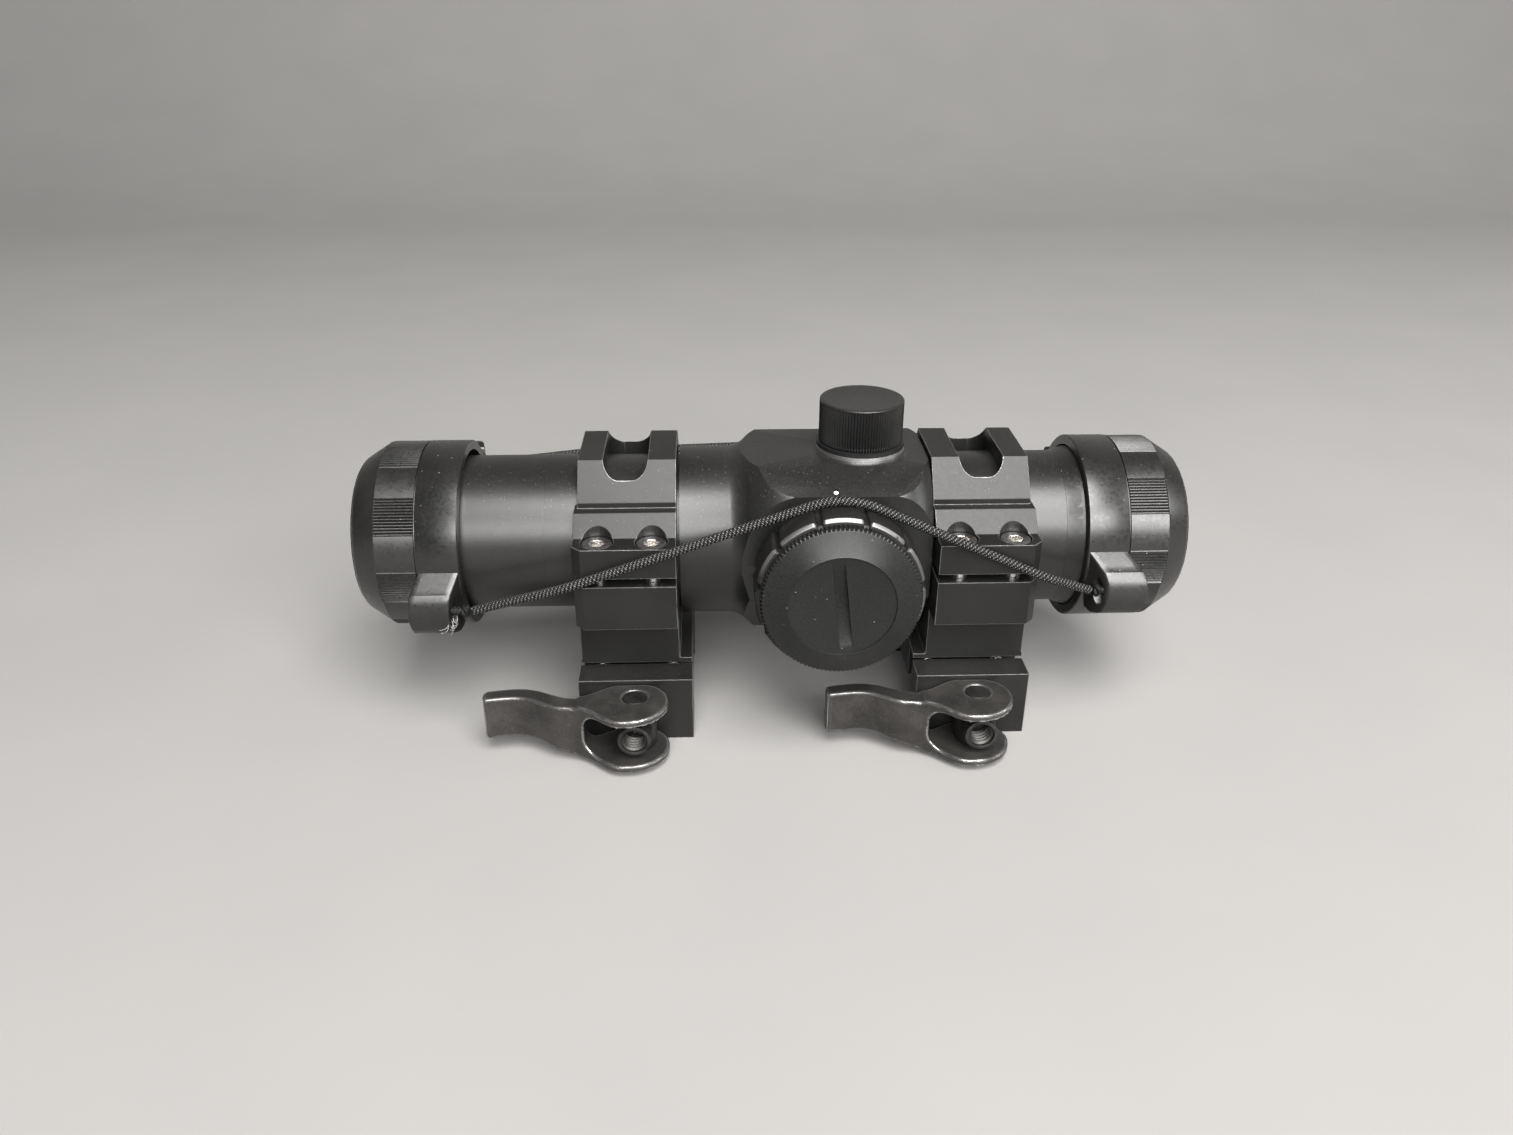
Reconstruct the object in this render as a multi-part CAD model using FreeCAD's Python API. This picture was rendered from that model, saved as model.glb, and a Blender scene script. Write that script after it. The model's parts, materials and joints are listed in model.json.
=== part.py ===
import FreeCAD, Part
import math
import os

# Tube sight in two quick-release rail rings, with a pair of corded lens covers.
# Millimetres. +X runs along the tube towards the eyepiece, +Z is up, -Y is the lever side.
# The origin is on the rail's top plane, on the rail's centre line, midway between the rings.

V = FreeCAD.Vector

# ---------------------------------------------------------------- driving dimensions
TUBE_R = 15.0               # 30 mm main tube
AXIS_Z = 26.7               # tube axis above the rail's top plane
GAP = 0.02                  # assembly gap between pieces that don't move
RUN = 0.05                  # running clearance on a radius

BORE_R = 13.0               # main tube bore
SLEEVE_R = 16.45            # thicker stretch between the front ring and the housing
SLEEVE_X = -23.4
TUBE_FRONT_X = -48.7        # seam with the objective cell
TUBE_REAR_X = 49.6          # seam with the eyepiece cell
OBJECTIVE_X = -79.0
EYEPIECE_X = 68.0
CELL_RIM_R = 16.1           # cell rims, inside the covers
SPIGOT_R = 13.75            # cells' spigots inside the main tube
WINDOW_R = 13.4
WINDOW_T = 2.0
TUBE_SEAL_R = 13.27

HOUSING_TOP = 17.15         # flat top, and flat sides, from the tube axis
HOUSING_FLAT_HALF = 10.0
HOUSING_EDGE_Z = 14.0       # height where the sloping facet meets the flat side
# (x, radius) points that the arcs of the housing's round body pass through
HOUSING_FILLET = ((-14.6, 16.42), (-12.3, 16.95), (-10.6, 18.3))
HOUSING_SHOULDER = ((-10.6, 18.3), (-7.6, 20.45), (-2.0, 22.15))
HOUSING_REAR = ((16.0, 22.15), (20.2, 21.2), (23.6, 18.4))

TURRET_X = 11.4
TURRET_CAP_R = 8.04
TURRET_CAP_BASE = 18.84     # from the tube axis
TURRET_CAP_TOP = 26.98
TURRET_SPIGOT_R = 6.0
TURRET_NECK_R = 6.9         # threaded neck that the cap screws on to
TURRET_FLANGE_R = 8.45      # bright ring that shows under the cap
SCREW_HEAD_R = 5.2
SCREW_STEM_R = 1.1
PLUNGER_R = 2.4
PLUNGER_HALF = 1.8          # half the distance over a plunger's flats
ERECTOR_PIVOT_X = -38.0
ERECTOR_R = 11.0
ERECTOR_BORE_R = 9.6
ERECTOR_X = (-44.0, 24.0)
LENS_R = 9.95
PIN_R = 0.8                 # gimbal pins

LED_X = 21.4
LED_DROP = 7.6              # light source below the axis
MIRROR_X = -42.0
MIRROR_R = 2 * (LED_X - MIRROR_X)

DIAL_X = 5.3
DIAL_R = 15.3
DIAL_LOBES = 11
FLUTE_WIDTH = 1.0
FLUTE_DEPTH = 0.9
DIAL_BACK_Y = -21.3
DIAL_FRONT_Y = -29.6
DIAL_FLOOR_Y = -24.9        # floor of the battery's recess
DIAL_SEAT_R = 11.25         # recess that the cap's spigot enters
CLICK_CIRCLE_R = 12.5       # dimples in the dial's back
BOARD_R = 11.2
BATTERY_CAP_R = 14.45
BATTERY_CAP_Y = (-31.5, -33.2)   # front of its rim, and of its raised middle
BATTERY_CAP_MIDDLE_R = 9.72
COIN_SLOT = (16.9, 2.3, 1.6)     # length, width and depth
COIN_SLOT_TILT = 6.5
COIN_CELL_R = 10.0
COIN_CELL_T = 3.2
BATTERY_SEAL_R = 12.6

RING_X = (23.9, 42.8)       # distance of a ring's two faces from the middle
RING_HALF_WIDTH = 23.0
RING_TOP = 18.0             # from the tube axis
RING_SPLIT = (-0.85, 0.8)   # base's top and cap's bottom, from the tube axis
RING_SCREW_X = 4.95         # screws' distance from the ring's middle
RING_SCREW_Y = 19.6
RING_CHAMFER = 1.75
CROWN_SLOT = (4.15, 10.25, 3.0)  # half width, half length and corner radius
FOOT_X = (21.5, 43.0)
FOOT_TOP_Z = 7.2            # from the rail plane

RAIL_HALF_WIDTH = 10.6
RAIL_FLAT_HALF = 7.8
RAIL_BEVEL = 2.8
RAIL_LAND = 0.6
RAIL_GAP = 0.1
HOOK_BOTTOM_Z = -7.4
HOOK_TIP_Y = 8.2

JAW_X = (21.4, 43.1)
JAW_T = 6.0
JAW_TOP_Z = 5.9
JAW_STROKE = 4.0
JAW_CLOSED_Y = -13.0        # jaw's inner face when the lever is closed
BOLT_X = 32.2
BOLT_Z = -0.6
BOLT_R = 2.35
BOLT_HEAD_R = 4.2
JAW_SPRING_X = 7.0          # springs' distance from a bolt
JAW_SPRING_Z = 3.0

LEVER_PIVOT_Y = -27.4
LEVER_TOP_Z = 5.1
LEVER_BOTTOM_Z = -6.25
EAR_T = 1.45
CAM_LOW = 4.3               # cam height that faces the open jaw
NUT_R = 3.9
JOURNAL_R = 2.2
SNOUT_R = 3.1
LEVER_TRAVEL = math.pi

COVER_R = 18.0
COVER_BORE_R = 16.2
COVER_MOUTH_X = (-63.9, 52.8)
COVER_SKIRT = 7.75
COVER_BAND = 15.2
COVER_BAND_R = 17.85
COVER_CONE = 33.0           # slope of the bevelled end, in degrees
COVER_CONE_X = 19.4
COVER_LENGTH = 20.5
COVER_WINDOW_X = (18.95, 20.0)
COVER_WINDOW_R = 13.65
COVER_TILT = (0.0, 8.0)     # degrees each cover is turned on the tube
LUG_HOLE = (20.4, 6.6)      # cord hole in a lug: out from the axis, and down

KNOT_R = 1.45
KNOT_X = -0.85              # knot's centre, out of the cover's mouth

CORD_R = 0.85
CORD_Y = 24.05              # cords run just outside the rings' faces

X_AXIS = V(1, 0, 0)
Y_AXIS = V(0, 1, 0)
Z_AXIS = V(0, 0, 1)
AXIS_POINT = V(0, 0, AXIS_Z)


# ---------------------------------------------------------------- shape helpers
def box(x, y, z):
    """Box from (low, high) pairs on the three axes."""
    return Part.makeBox(x[1] - x[0], y[1] - y[0], z[1] - z[0], V(x[0], y[0], z[0]))


def rod(start, direction, length, radius):
    return Part.makeCylinder(radius, length, V(*start), V(*direction))


def x_rod(x, radius, y=0.0, z=AXIS_Z):
    return rod((x[0], y, z), (1, 0, 0), x[1] - x[0], radius)


def y_rod(y, radius, x, z):
    return rod((x, y[0], z), (0, 1, 0), y[1] - y[0], radius)


def z_rod(z, radius, x, y):
    return rod((x, y, z[0]), (0, 0, 1), z[1] - z[0], radius)


def x_ring(x, outer, inner):
    return x_rod(x, outer).cut(x_rod((x[0] - 1, x[1] + 1), inner))


def face_from(edges):
    return Part.Face(Part.Wire(edges))


def prism_x(yz, x):
    """Prism along X from an outline of (y, z) points."""
    points = [V(x[0], p[0], p[1]) for p in yz]
    return Part.Face(Part.makePolygon(points + points[:1])).extrude(V(x[1] - x[0], 0, 0))


def prism_z(xy, z):
    """Prism along Z from an outline of (x, y) points."""
    points = [V(p[0], p[1], z[0]) for p in xy]
    return Part.Face(Part.makePolygon(points + points[:1])).extrude(V(0, 0, z[1] - z[0]))


def prism_y(xz, y):
    """Prism along Y from an outline of (x, z) points."""
    points = [V(p[0], y[0], p[1]) for p in xz]
    return Part.Face(Part.makePolygon(points + points[:1])).extrude(V(0, y[1] - y[0], 0))


def turned(outline):
    """Solid of revolution about the tube axis from an outline of (x, radius) points."""
    points = [V(x, 0, AXIS_Z + r) for x, r in outline]
    face = Part.Face(Part.makePolygon(points + points[:1]))
    return face.revolve(AXIS_POINT, X_AXIS, 360)


def about_tube(shape, degrees):
    copy = shape.copy()
    copy.rotate(AXIS_POINT, X_AXIS, degrees)
    return copy


def mirror_front(shape):
    """The front ring is the rear ring's mirror image."""
    return shape.mirror(V(0, 0, 0), X_AXIS)


def moved(shape, x=0.0, y=0.0, z=0.0):
    copy = shape.copy()
    copy.translate(V(x, y, z))
    return copy


def hex_socket(radius, depth):
    """Hexagonal hole that opens at z = 0 and goes down."""
    corners = [(radius * math.cos(math.radians(60 * i)), radius * math.sin(math.radians(60 * i)))
               for i in range(6)]
    return prism_z(corners, (-depth, 0.1))


def coil(radius, wire, length, pitch):
    """Compression spring that stands on z = 0."""
    path = Part.makeHelix(pitch, length - 2 * wire, radius)
    start = Part.Wire(Part.makeCircle(wire, V(radius, 0, 0), Y_AXIS))
    spring = Part.Wire(path).makePipeShell([start], True, True)
    spring.translate(V(0, 0, wire))
    return spring


def torus_ring(centre, direction, major, minor):
    return Part.makeTorus(major, minor, V(*centre), V(*direction))


# ---------------------------------------------------------------- main tube and housing
def housing():
    """Turret housing: a round body with soft shoulders, milled flat on its top, sides and facets."""
    top = AXIS_Z + HOUSING_TOP
    edge = AXIS_Z + HOUSING_EDGE_Z
    side = HOUSING_TOP
    low_z = AXIS_Z - 7.0
    low_y = 9.0
    bottom = AXIS_Z - HOUSING_TOP
    half = [(HOUSING_FLAT_HALF, top), (side, edge), (side, low_z), (low_y, bottom)]
    outline = half + [(-y, z) for y, z in reversed(half)]
    front, rear = HOUSING_FILLET[0][0], HOUSING_REAR[-1][0]
    block = prism_x(outline, (front, rear))
    curves = (HOUSING_FILLET, HOUSING_SHOULDER, HOUSING_REAR)
    arcs = [[V(x, 0, AXIS_Z + r) for x, r in curve] for curve in curves]
    floor = [V(rear, 0, AXIS_Z), V(front, 0, AXIS_Z)]
    lines = [(arcs[1][-1], arcs[2][0]), (arcs[2][-1], floor[0]), floor, (floor[1], arcs[0][0])]
    edges = [Part.Arc(*arc).toShape() for arc in arcs] + [Part.makeLine(a, b) for a, b in lines]
    round_body = face_from(Part.__sortEdges__(edges)).revolve(AXIS_POINT, X_AXIS, 360)
    boss = y_rod((DIAL_BACK_Y + 0.3, -10), 13.6, DIAL_X, AXIS_Z)
    return block.common(round_body).fuse(boss)


def main_tube():
    sleeve = x_rod((SLEEVE_X, HOUSING_REAR[0][0]), SLEEVE_R)
    tube = x_rod((TUBE_FRONT_X, TUBE_REAR_X), TUBE_R).fuse(sleeve).fuse(housing())
    tube = tube.cut(x_rod((TUBE_FRONT_X - 1, TUBE_REAR_X + 1), BORE_R))
    tube = tube.cut(x_rod((TUBE_FRONT_X - 1, TUBE_FRONT_X + 6.5), 13.8))
    tube = tube.cut(x_rod((TUBE_REAR_X - 6.5, TUBE_REAR_X + 1), 13.8))
    for side in (0, 180):
        hole = y_rod((BORE_R - 1, TUBE_R - 0.1), PIN_R + GAP, ERECTOR_PIVOT_X, AXIS_Z)
        tube = tube.cut(about_tube(hole, side))
    for place in (stand_elevation, stand_windage):
        tube = tube.cut(place(z_rod((14.2, HOUSING_TOP + 1), TURRET_SPIGOT_R + GAP, 0, 0)))
        tube = tube.cut(place(plunger_bar((10, 16), RUN)))
    tube = tube.cut(y_rod((DIAL_BACK_Y - 1, -18.2), 11.4, DIAL_X, AXIS_Z))
    tube = tube.cut(y_rod((-19, -14.2), 4.05, DIAL_X, AXIS_Z))
    tube = tube.cut(y_rod((-22, -18.6), 0.85, DIAL_X, AXIS_Z - CLICK_CIRCLE_R))
    index = rod((DIAL_X, -15.6, AXIS_Z + 14.2), (0, -0.41, 0.91), 3, 0.5)
    return tube.cut(index)


def cell(end_x, seam_x, spigot_x, window_x, flare):
    """End cell: a spigot in the main tube, a flared rim and a seat for its window."""
    outline = [(spigot_x, 12.0), (spigot_x, SPIGOT_R), (seam_x, SPIGOT_R), (seam_x, TUBE_R),
               (flare[0], TUBE_R), (flare[1], CELL_RIM_R), (end_x, CELL_RIM_R), (end_x, 13.45),
               (window_x, 13.45), (window_x, 12.0)]
    body = turned(outline)
    groove_x = (spigot_x + seam_x) / 2
    return body.cut(x_ring((groove_x - 0.6, groove_x + 0.6), 14.5, 12.75))


def tube_seal(x):
    return torus_ring((x, 0, AXIS_Z), (1, 0, 0), TUBE_SEAL_R, 0.5)


def retainer(x, outer, inner):
    """Slotted lock ring for a window or lens."""
    ring = x_ring(x, outer, inner)
    slot = box((x[0] - 1, (x[0] + x[1]) / 2), (-outer - 1, outer + 1), (AXIS_Z - 0.6, AXIS_Z + 0.6))
    return ring.cut(slot)


# ---------------------------------------------------------------- erector and light source
def gimbal_ring():
    ring = x_ring((ERECTOR_PIVOT_X - 2.5, ERECTOR_PIVOT_X + 2.5), 12.65, 11.35)
    ring = ring.cut(y_rod((-14, 14), PIN_R + RUN, ERECTOR_PIVOT_X, AXIS_Z))
    return ring.cut(z_rod((AXIS_Z - 14, AXIS_Z + 14), PIN_R + GAP, ERECTOR_PIVOT_X, 0))


def pitch_pins():
    pin = y_rod((11.45, 14.85), PIN_R, ERECTOR_PIVOT_X, AXIS_Z)
    return Part.makeCompound([pin, about_tube(pin, 180)])


def yaw_pins():
    pin = z_rod((AXIS_Z + 9.8, AXIS_Z + 12.55), PIN_R, ERECTOR_PIVOT_X, 0)
    return Part.makeCompound([pin, about_tube(pin, 180)])


def erector_tube():
    tube = x_ring(ERECTOR_X, ERECTOR_R, ERECTOR_BORE_R)
    tube = tube.cut(x_rod((ERECTOR_X[0] - 1, ERECTOR_X[0] + 3.5), 10.0))
    return tube.cut(z_rod((AXIS_Z - 14, AXIS_Z + 14), PIN_R + RUN, ERECTOR_PIVOT_X, 0))


def reflector_lens():
    """Lens with a spherical face that looks back at the light source below the axis."""
    blank = x_rod((MIRROR_X - 0.6, ERECTOR_X[0] + 3.45), LENS_R)
    centre = V(MIRROR_X + MIRROR_R, 0, AXIS_Z - 2 * LED_DROP)
    return blank.cut(Part.makeSphere(MIRROR_R, centre))


def led_bracket():
    block = box((LED_X, 23.9), (-2.2, 2.2), (AXIS_Z - 10, AXIS_Z - 6.2))
    block = block.common(x_rod((LED_X, 23.9), ERECTOR_BORE_R - GAP))
    return block.cut(x_rod((LED_X - 1, LED_X + 1.6), 0.9 + GAP, 0, AXIS_Z - LED_DROP))


def led_emitter():
    body = x_rod((LED_X, LED_X + 1.55), 0.9, 0, AXIS_Z - LED_DROP)
    dome = Part.makeSphere(0.7, V(LED_X, 0, AXIS_Z - LED_DROP))
    return body.fuse(dome)


def return_spring():
    """Bowed leaf that pushes the erector tube against both adjusting plungers."""
    thick = 0.35
    bow = [V(2.0, 0, 12.45), V(12.0, 0, 11.1), V(22.0, 0, 12.45)]
    inner = Part.Arc(*bow)
    outer = Part.Arc(*[point.add(V(0, 0, thick)) for point in bow])
    caps = [Part.makeLine(outer.StartPoint, inner.StartPoint),
            Part.makeLine(inner.EndPoint, outer.EndPoint)]
    leaf = face_from([inner.toShape(), caps[1], outer.toShape(), caps[0]]).extrude(V(0, 3.0, 0))
    leaf.translate(V(0, -1.5, AXIS_Z))
    return about_tube(leaf, 135)


# ---------------------------------------------------------------- turrets
def stand_elevation(shape):
    """Put a turret piece, drawn with its axis on Z from the tube axis, on top of the tube."""
    return moved(shape, x=TURRET_X, z=AXIS_Z)


def stand_windage(shape):
    copy = shape.copy()
    copy.rotate(V(0, 0, 0), X_AXIS, -90)
    return moved(copy, x=TURRET_X, z=AXIS_Z)


def plunger_bar(z, clearance):
    """Round bar with two flats, so that it slides and can't turn."""
    bar = z_rod(z, PLUNGER_R + clearance, 0, 0)
    half = PLUNGER_HALF + clearance
    return bar.common(box((-half, half), (-5, 5), z))


def turret_bushing():
    flange = z_rod((HOUSING_TOP + GAP, TURRET_CAP_BASE - 0.1), TURRET_FLANGE_R, 0, 0)
    spigot = z_rod((14.25, HOUSING_TOP + GAP), TURRET_SPIGOT_R, 0, 0)
    neck = z_rod((TURRET_CAP_BASE - 0.1, 24.2), TURRET_NECK_R, 0, 0)
    body = flange.fuse(spigot).fuse(neck)
    body = body.cut(plunger_bar((13, 21), RUN))
    return body.cut(z_rod((20.9, 25), SCREW_HEAD_R + 0.1, 0, 0))


def turret_plunger():
    bar = plunger_bar((12.2, 20.0), 0)
    tip = z_rod((ERECTOR_R + 0.05, 12.2), 1.4, 0, 0)
    return bar.fuse(tip).cut(z_rod((14.5, 21), SCREW_STEM_R + RUN, 0, 0))


def turret_screw():
    """Slotted adjusting screw; its stem works in the plunger's thread."""
    head = z_rod((20.95, 22.8), SCREW_HEAD_R, 0, 0)
    stem = z_rod((15.6, 20.95), SCREW_STEM_R, 0, 0)
    screw = head.fuse(stem).cut(box((-0.6, 0.6), (-6, 6), (21.8, 23)))
    dimple_circle_r = 4.5
    for step in range(12):
        angle = math.radians(30 * step)
        x = dimple_circle_r * math.cos(angle)
        y = dimple_circle_r * math.sin(angle)
        screw = screw.cut(z_rod((22.3, 23), 0.25, x, y))
    return screw


def turret_clip():
    ring = z_rod((22.9, 23.5), 5.26, 0, 0).cut(z_rod((22, 24), 4.0, 0, 0))
    return ring.cut(box((0, 6), (-0.8, 0.8), (22, 24)))


def turret_seal():
    return torus_ring((0, 0, TURRET_CAP_BASE + 0.45), (0, 0, 1), 7.36, 0.42)


def turret_cap():
    body = z_rod((TURRET_CAP_BASE, TURRET_CAP_TOP), TURRET_CAP_R, 0, 0)
    bevel = 0.35
    rim_z = TURRET_CAP_TOP - bevel
    rim = Part.makeCone(TURRET_CAP_R, TURRET_CAP_R - bevel, bevel, V(0, 0, rim_z), Z_AXIS)
    body = body.cut(z_rod((rim_z, TURRET_CAP_TOP + 1), TURRET_CAP_R + 1, 0, 0)).fuse(rim)
    body = body.cut(z_rod((18, 25.2), TURRET_NECK_R + RUN, 0, 0))
    return body.cut(z_rod((18, TURRET_CAP_BASE + 0.95), 7.8, 0, 0))


# ---------------------------------------------------------------- brightness dial and battery
def brightness_dial():
    knob = y_rod((DIAL_FRONT_Y, DIAL_BACK_Y), DIAL_R, DIAL_X, AXIS_Z)
    for lobe in range(DIAL_LOBES):
        angle = 2 * math.pi * (lobe + 0.5) / DIAL_LOBES
        flute = box((-FLUTE_WIDTH / 2, FLUTE_WIDTH / 2), (DIAL_FRONT_Y - 1, DIAL_BACK_Y + 1),
                    (DIAL_R - FLUTE_DEPTH, DIAL_R + 1))
        flute.rotate(V(0, 0, 0), Y_AXIS, math.degrees(angle))
        knob = knob.cut(moved(flute, x=DIAL_X, z=AXIS_Z))
    knob = knob.fuse(y_rod((DIAL_BACK_Y, -14.6), 4.0, DIAL_X, AXIS_Z))
    knob = knob.cut(y_rod((DIAL_FRONT_Y - 1, DIAL_FLOOR_Y), COIN_CELL_R + 0.3, DIAL_X, AXIS_Z))
    knob = knob.cut(y_rod((DIAL_FRONT_Y - 1, DIAL_FLOOR_Y - 2.5), DIAL_SEAT_R, DIAL_X, AXIS_Z))
    groove = y_rod((DIAL_BACK_Y - 0.3, DIAL_BACK_Y + 1), 13.4, DIAL_X, AXIS_Z)
    groove = groove.cut(y_rod((DIAL_BACK_Y - 1, DIAL_BACK_Y + 2), 11.6, DIAL_X, AXIS_Z))
    knob = knob.cut(groove).cut(y_rod((DIAL_FLOOR_Y - 0.1, DIAL_FLOOR_Y + 0.35), 4.6, DIAL_X, AXIS_Z))
    for click in range(DIAL_LOBES):
        angle = 2 * math.pi * click / DIAL_LOBES
        x = DIAL_X + CLICK_CIRCLE_R * math.sin(angle)
        z = AXIS_Z - CLICK_CIRCLE_R * math.cos(angle)
        knob = knob.cut(y_rod((DIAL_BACK_Y - 0.6, DIAL_BACK_Y), 0.6, x, z))
    return knob


def battery_cap():
    """Coned cap with a coin slot that has a round bottom, as a disc cutter leaves it."""
    rim_y, face_y = BATTERY_CAP_Y
    disc = y_rod((rim_y, DIAL_FRONT_Y - 0.05), BATTERY_CAP_R, DIAL_X, AXIS_Z)
    cone = Part.makeCone(BATTERY_CAP_R - 0.3, BATTERY_CAP_MIDDLE_R, rim_y - face_y,
                         V(DIAL_X, rim_y, AXIS_Z), V(0, -1, 0))
    spigot = y_rod((DIAL_FRONT_Y - 0.05, -28.3), DIAL_SEAT_R - RUN, DIAL_X, AXIS_Z)
    cap = disc.fuse(cone).fuse(spigot)
    seat = torus_ring((DIAL_X, DIAL_FRONT_Y - 0.35, AXIS_Z), (0, 1, 0), BATTERY_SEAL_R, 0.55)
    length, width, depth = COIN_SLOT
    cutter_r = ((length / 2) ** 2 + depth ** 2) / (2 * depth)
    slot = x_rod((-width / 2, width / 2), cutter_r, face_y + depth - cutter_r, 0)
    slot.rotate(V(0, 0, 0), Y_AXIS, -COIN_SLOT_TILT)
    slot.translate(V(DIAL_X, 0, AXIS_Z))
    return cap.cut(seat).cut(slot)


def battery_seal():
    return torus_ring((DIAL_X, DIAL_FRONT_Y - 0.5, AXIS_Z), (0, 1, 0), BATTERY_SEAL_R, 0.38)


def coin_cell():
    y = (DIAL_FLOOR_Y - 0.05 - COIN_CELL_T, DIAL_FLOOR_Y - 0.05)
    can = y_rod(y, COIN_CELL_R, DIAL_X, AXIS_Z)
    step = y_rod((y[1] - 0.3, y[1] + 1), COIN_CELL_R + 1, DIAL_X, AXIS_Z)
    step = step.cut(y_rod((y[1] - 1, y[1] + 1), COIN_CELL_R - 1.4, DIAL_X, AXIS_Z))
    return can.cut(step)


def battery_spring():
    """Spring contact in the dial's floor, under the cell."""
    ring = y_rod((DIAL_FLOOR_Y + 0.05, DIAL_FLOOR_Y + 0.3), 4.5, DIAL_X, AXIS_Z)
    return ring.cut(y_rod((-26, -24), 3.0, DIAL_X, AXIS_Z))


def switch_board():
    board = y_rod((-19.7, -18.4), BOARD_R, DIAL_X, AXIS_Z)
    return board.cut(y_rod((-21, -17), 4.4, DIAL_X, AXIS_Z))


def detent_ball():
    return Part.makeSphere(0.8, V(DIAL_X, DIAL_BACK_Y + 0.6, AXIS_Z - CLICK_CIRCLE_R))


def detent_spring():
    spring = coil(0.6, 0.18, 1.25, 0.6)
    spring.rotate(V(0, 0, 0), X_AXIS, 90)
    return moved(spring, x=DIAL_X, y=-18.65, z=AXIS_Z - CLICK_CIRCLE_R)


# ---------------------------------------------------------------- rings
def ring_middle():
    return (RING_X[0] + RING_X[1]) / 2


def corner_chamfers(z):
    """Cutters for the two vertical corners of a ring's outer face."""
    out = RING_X[1]
    half = RING_HALF_WIDTH
    near = [(out - RING_CHAMFER, -half - 0.1), (out + 0.1, -half - 0.1),
            (out + 0.1, -half + RING_CHAMFER)]
    far = [(x, -y) for x, y in near]
    return prism_z(near, z).fuse(prism_z(far, z))


def screw_places():
    return [(ring_middle() + sx * RING_SCREW_X, sy * RING_SCREW_Y) for sx in (-1, 1) for sy in (-1, 1)]


def crown_slot():
    """Cutter for the round-cornered slot through a ring's crown."""
    middle = ring_middle()
    half_x, half_y, corner = CROWN_SLOT
    z = (AXIS_Z, AXIS_Z + 20)
    slot = box((middle - half_x, middle + half_x), (corner - half_y, half_y - corner), z)
    slot = slot.fuse(box((middle - half_x + corner, middle + half_x - corner), (-half_y, half_y), z))
    for sx in (-1, 1):
        for sy in (-1, 1):
            slot = slot.fuse(z_rod(z, corner, middle + sx * (half_x - corner), sy * (half_y - corner)))
    return slot


def ring_cap():
    """Upper half of the rear ring: stepped shoulders and a slot through the crown."""
    split = AXIS_Z + RING_SPLIT[1]
    shoulder = [(0, RING_TOP), (7.7, RING_TOP), (13.0, 11.5), (13.0, 10.4), (14.9, 10.4),
                (18.4, 6.7), (RING_HALF_WIDTH, 6.7)]
    half = [(y, AXIS_Z + z) for y, z in shoulder] + [(RING_HALF_WIDTH, split)]
    outline = half + [(-y, z) for y, z in reversed(half[1:])]
    cap = prism_x(outline, RING_X)
    crown_step = box((RING_X[1] - 0.6, RING_X[1] + 1), (-13.05, 13.05), (AXIS_Z + 10.4, AXIS_Z + 20))
    cap = cap.cut(crown_step)
    cap = cap.cut(x_rod((0, 60), TUBE_R + GAP))
    cap = cap.cut(crown_slot())
    for x, y in screw_places():
        cap = cap.cut(z_rod((AXIS_Z + 3.9, AXIS_Z + 14), 3.0, x, y))
        cap = cap.cut(z_rod((AXIS_Z, AXIS_Z + 5), 1.6, x, y))
    return cap.cut(corner_chamfers((AXIS_Z, AXIS_Z + 6.8)))


def rail_hook(inner_y):
    """Points of the hook that grips under the rail's edge, from the inner face down to the tip."""
    edge = RAIL_HALF_WIDTH + RAIL_GAP
    land_z = -(RAIL_BEVEL + RAIL_LAND) - RAIL_GAP / 2
    return [(inner_y, land_z), (edge, land_z), (HOOK_TIP_Y, land_z - (edge - HOOK_TIP_Y)),
            (HOOK_TIP_Y, HOOK_BOTTOM_Z)]


def ring_base():
    """Lower half of the rear ring, with the fixed hook on the far side of the rail."""
    split = AXIS_Z + RING_SPLIT[0]
    block_z = AXIS_Z - 9.75
    waist = 17.0
    near_low = -JAW_CLOSED_Y - RAIL_GAP
    edge = RAIL_HALF_WIDTH + RAIL_GAP
    near = [(-RING_HALF_WIDTH, split), (-RING_HALF_WIDTH, block_z), (-waist, block_z),
            (-waist, JAW_TOP_Z + 0.3), (-near_low, JAW_TOP_Z + 0.3), (-near_low, 0)]
    relief = 0.6
    seat = [(RAIL_FLAT_HALF, 0), (RAIL_FLAT_HALF, relief), (RAIL_FLAT_HALF + relief, relief),
            (RAIL_FLAT_HALF + relief, -relief), (edge, -(edge - RAIL_FLAT_HALF))]
    far = rail_hook(edge)[1:] + [(waist, HOOK_BOTTOM_Z), (waist, block_z), (RING_HALF_WIDTH, block_z),
                                 (RING_HALF_WIDTH, split)]
    outline = near + seat + far
    foot = prism_x(outline, FOOT_X)
    trim_in = box((FOOT_X[0] - 1, RING_X[0]), (-30, 30), (FOOT_TOP_Z, AXIS_Z + 5))
    trim_out = box((RING_X[1], FOOT_X[1] + 1), (-30, 30), (FOOT_TOP_Z, AXIS_Z + 5))
    base = foot.cut(trim_in).cut(trim_out)
    base = base.cut(x_rod((0, 60), TUBE_R + GAP))
    for x, y in screw_places():
        base = base.cut(z_rod((AXIS_Z - 7, AXIS_Z + 1), 1.5, x, y))
    base = base.cut(corner_chamfers((block_z, AXIS_Z + 1)))
    base = base.cut(y_rod((-20, 20), BOLT_R + 0.07, BOLT_X, BOLT_Z))
    bolt_x = (BOLT_X - BOLT_R - 0.15, BOLT_X + BOLT_R + 0.15)
    base = base.cut(box(bolt_x, (-near_low - 1, edge), (BOLT_Z, relief)))
    for x in (BOLT_X - JAW_SPRING_X, BOLT_X + JAW_SPRING_X):
        base = base.cut(y_rod((-near_low - 1, -9), 1.3, x, JAW_SPRING_Z))
    return base


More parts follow.
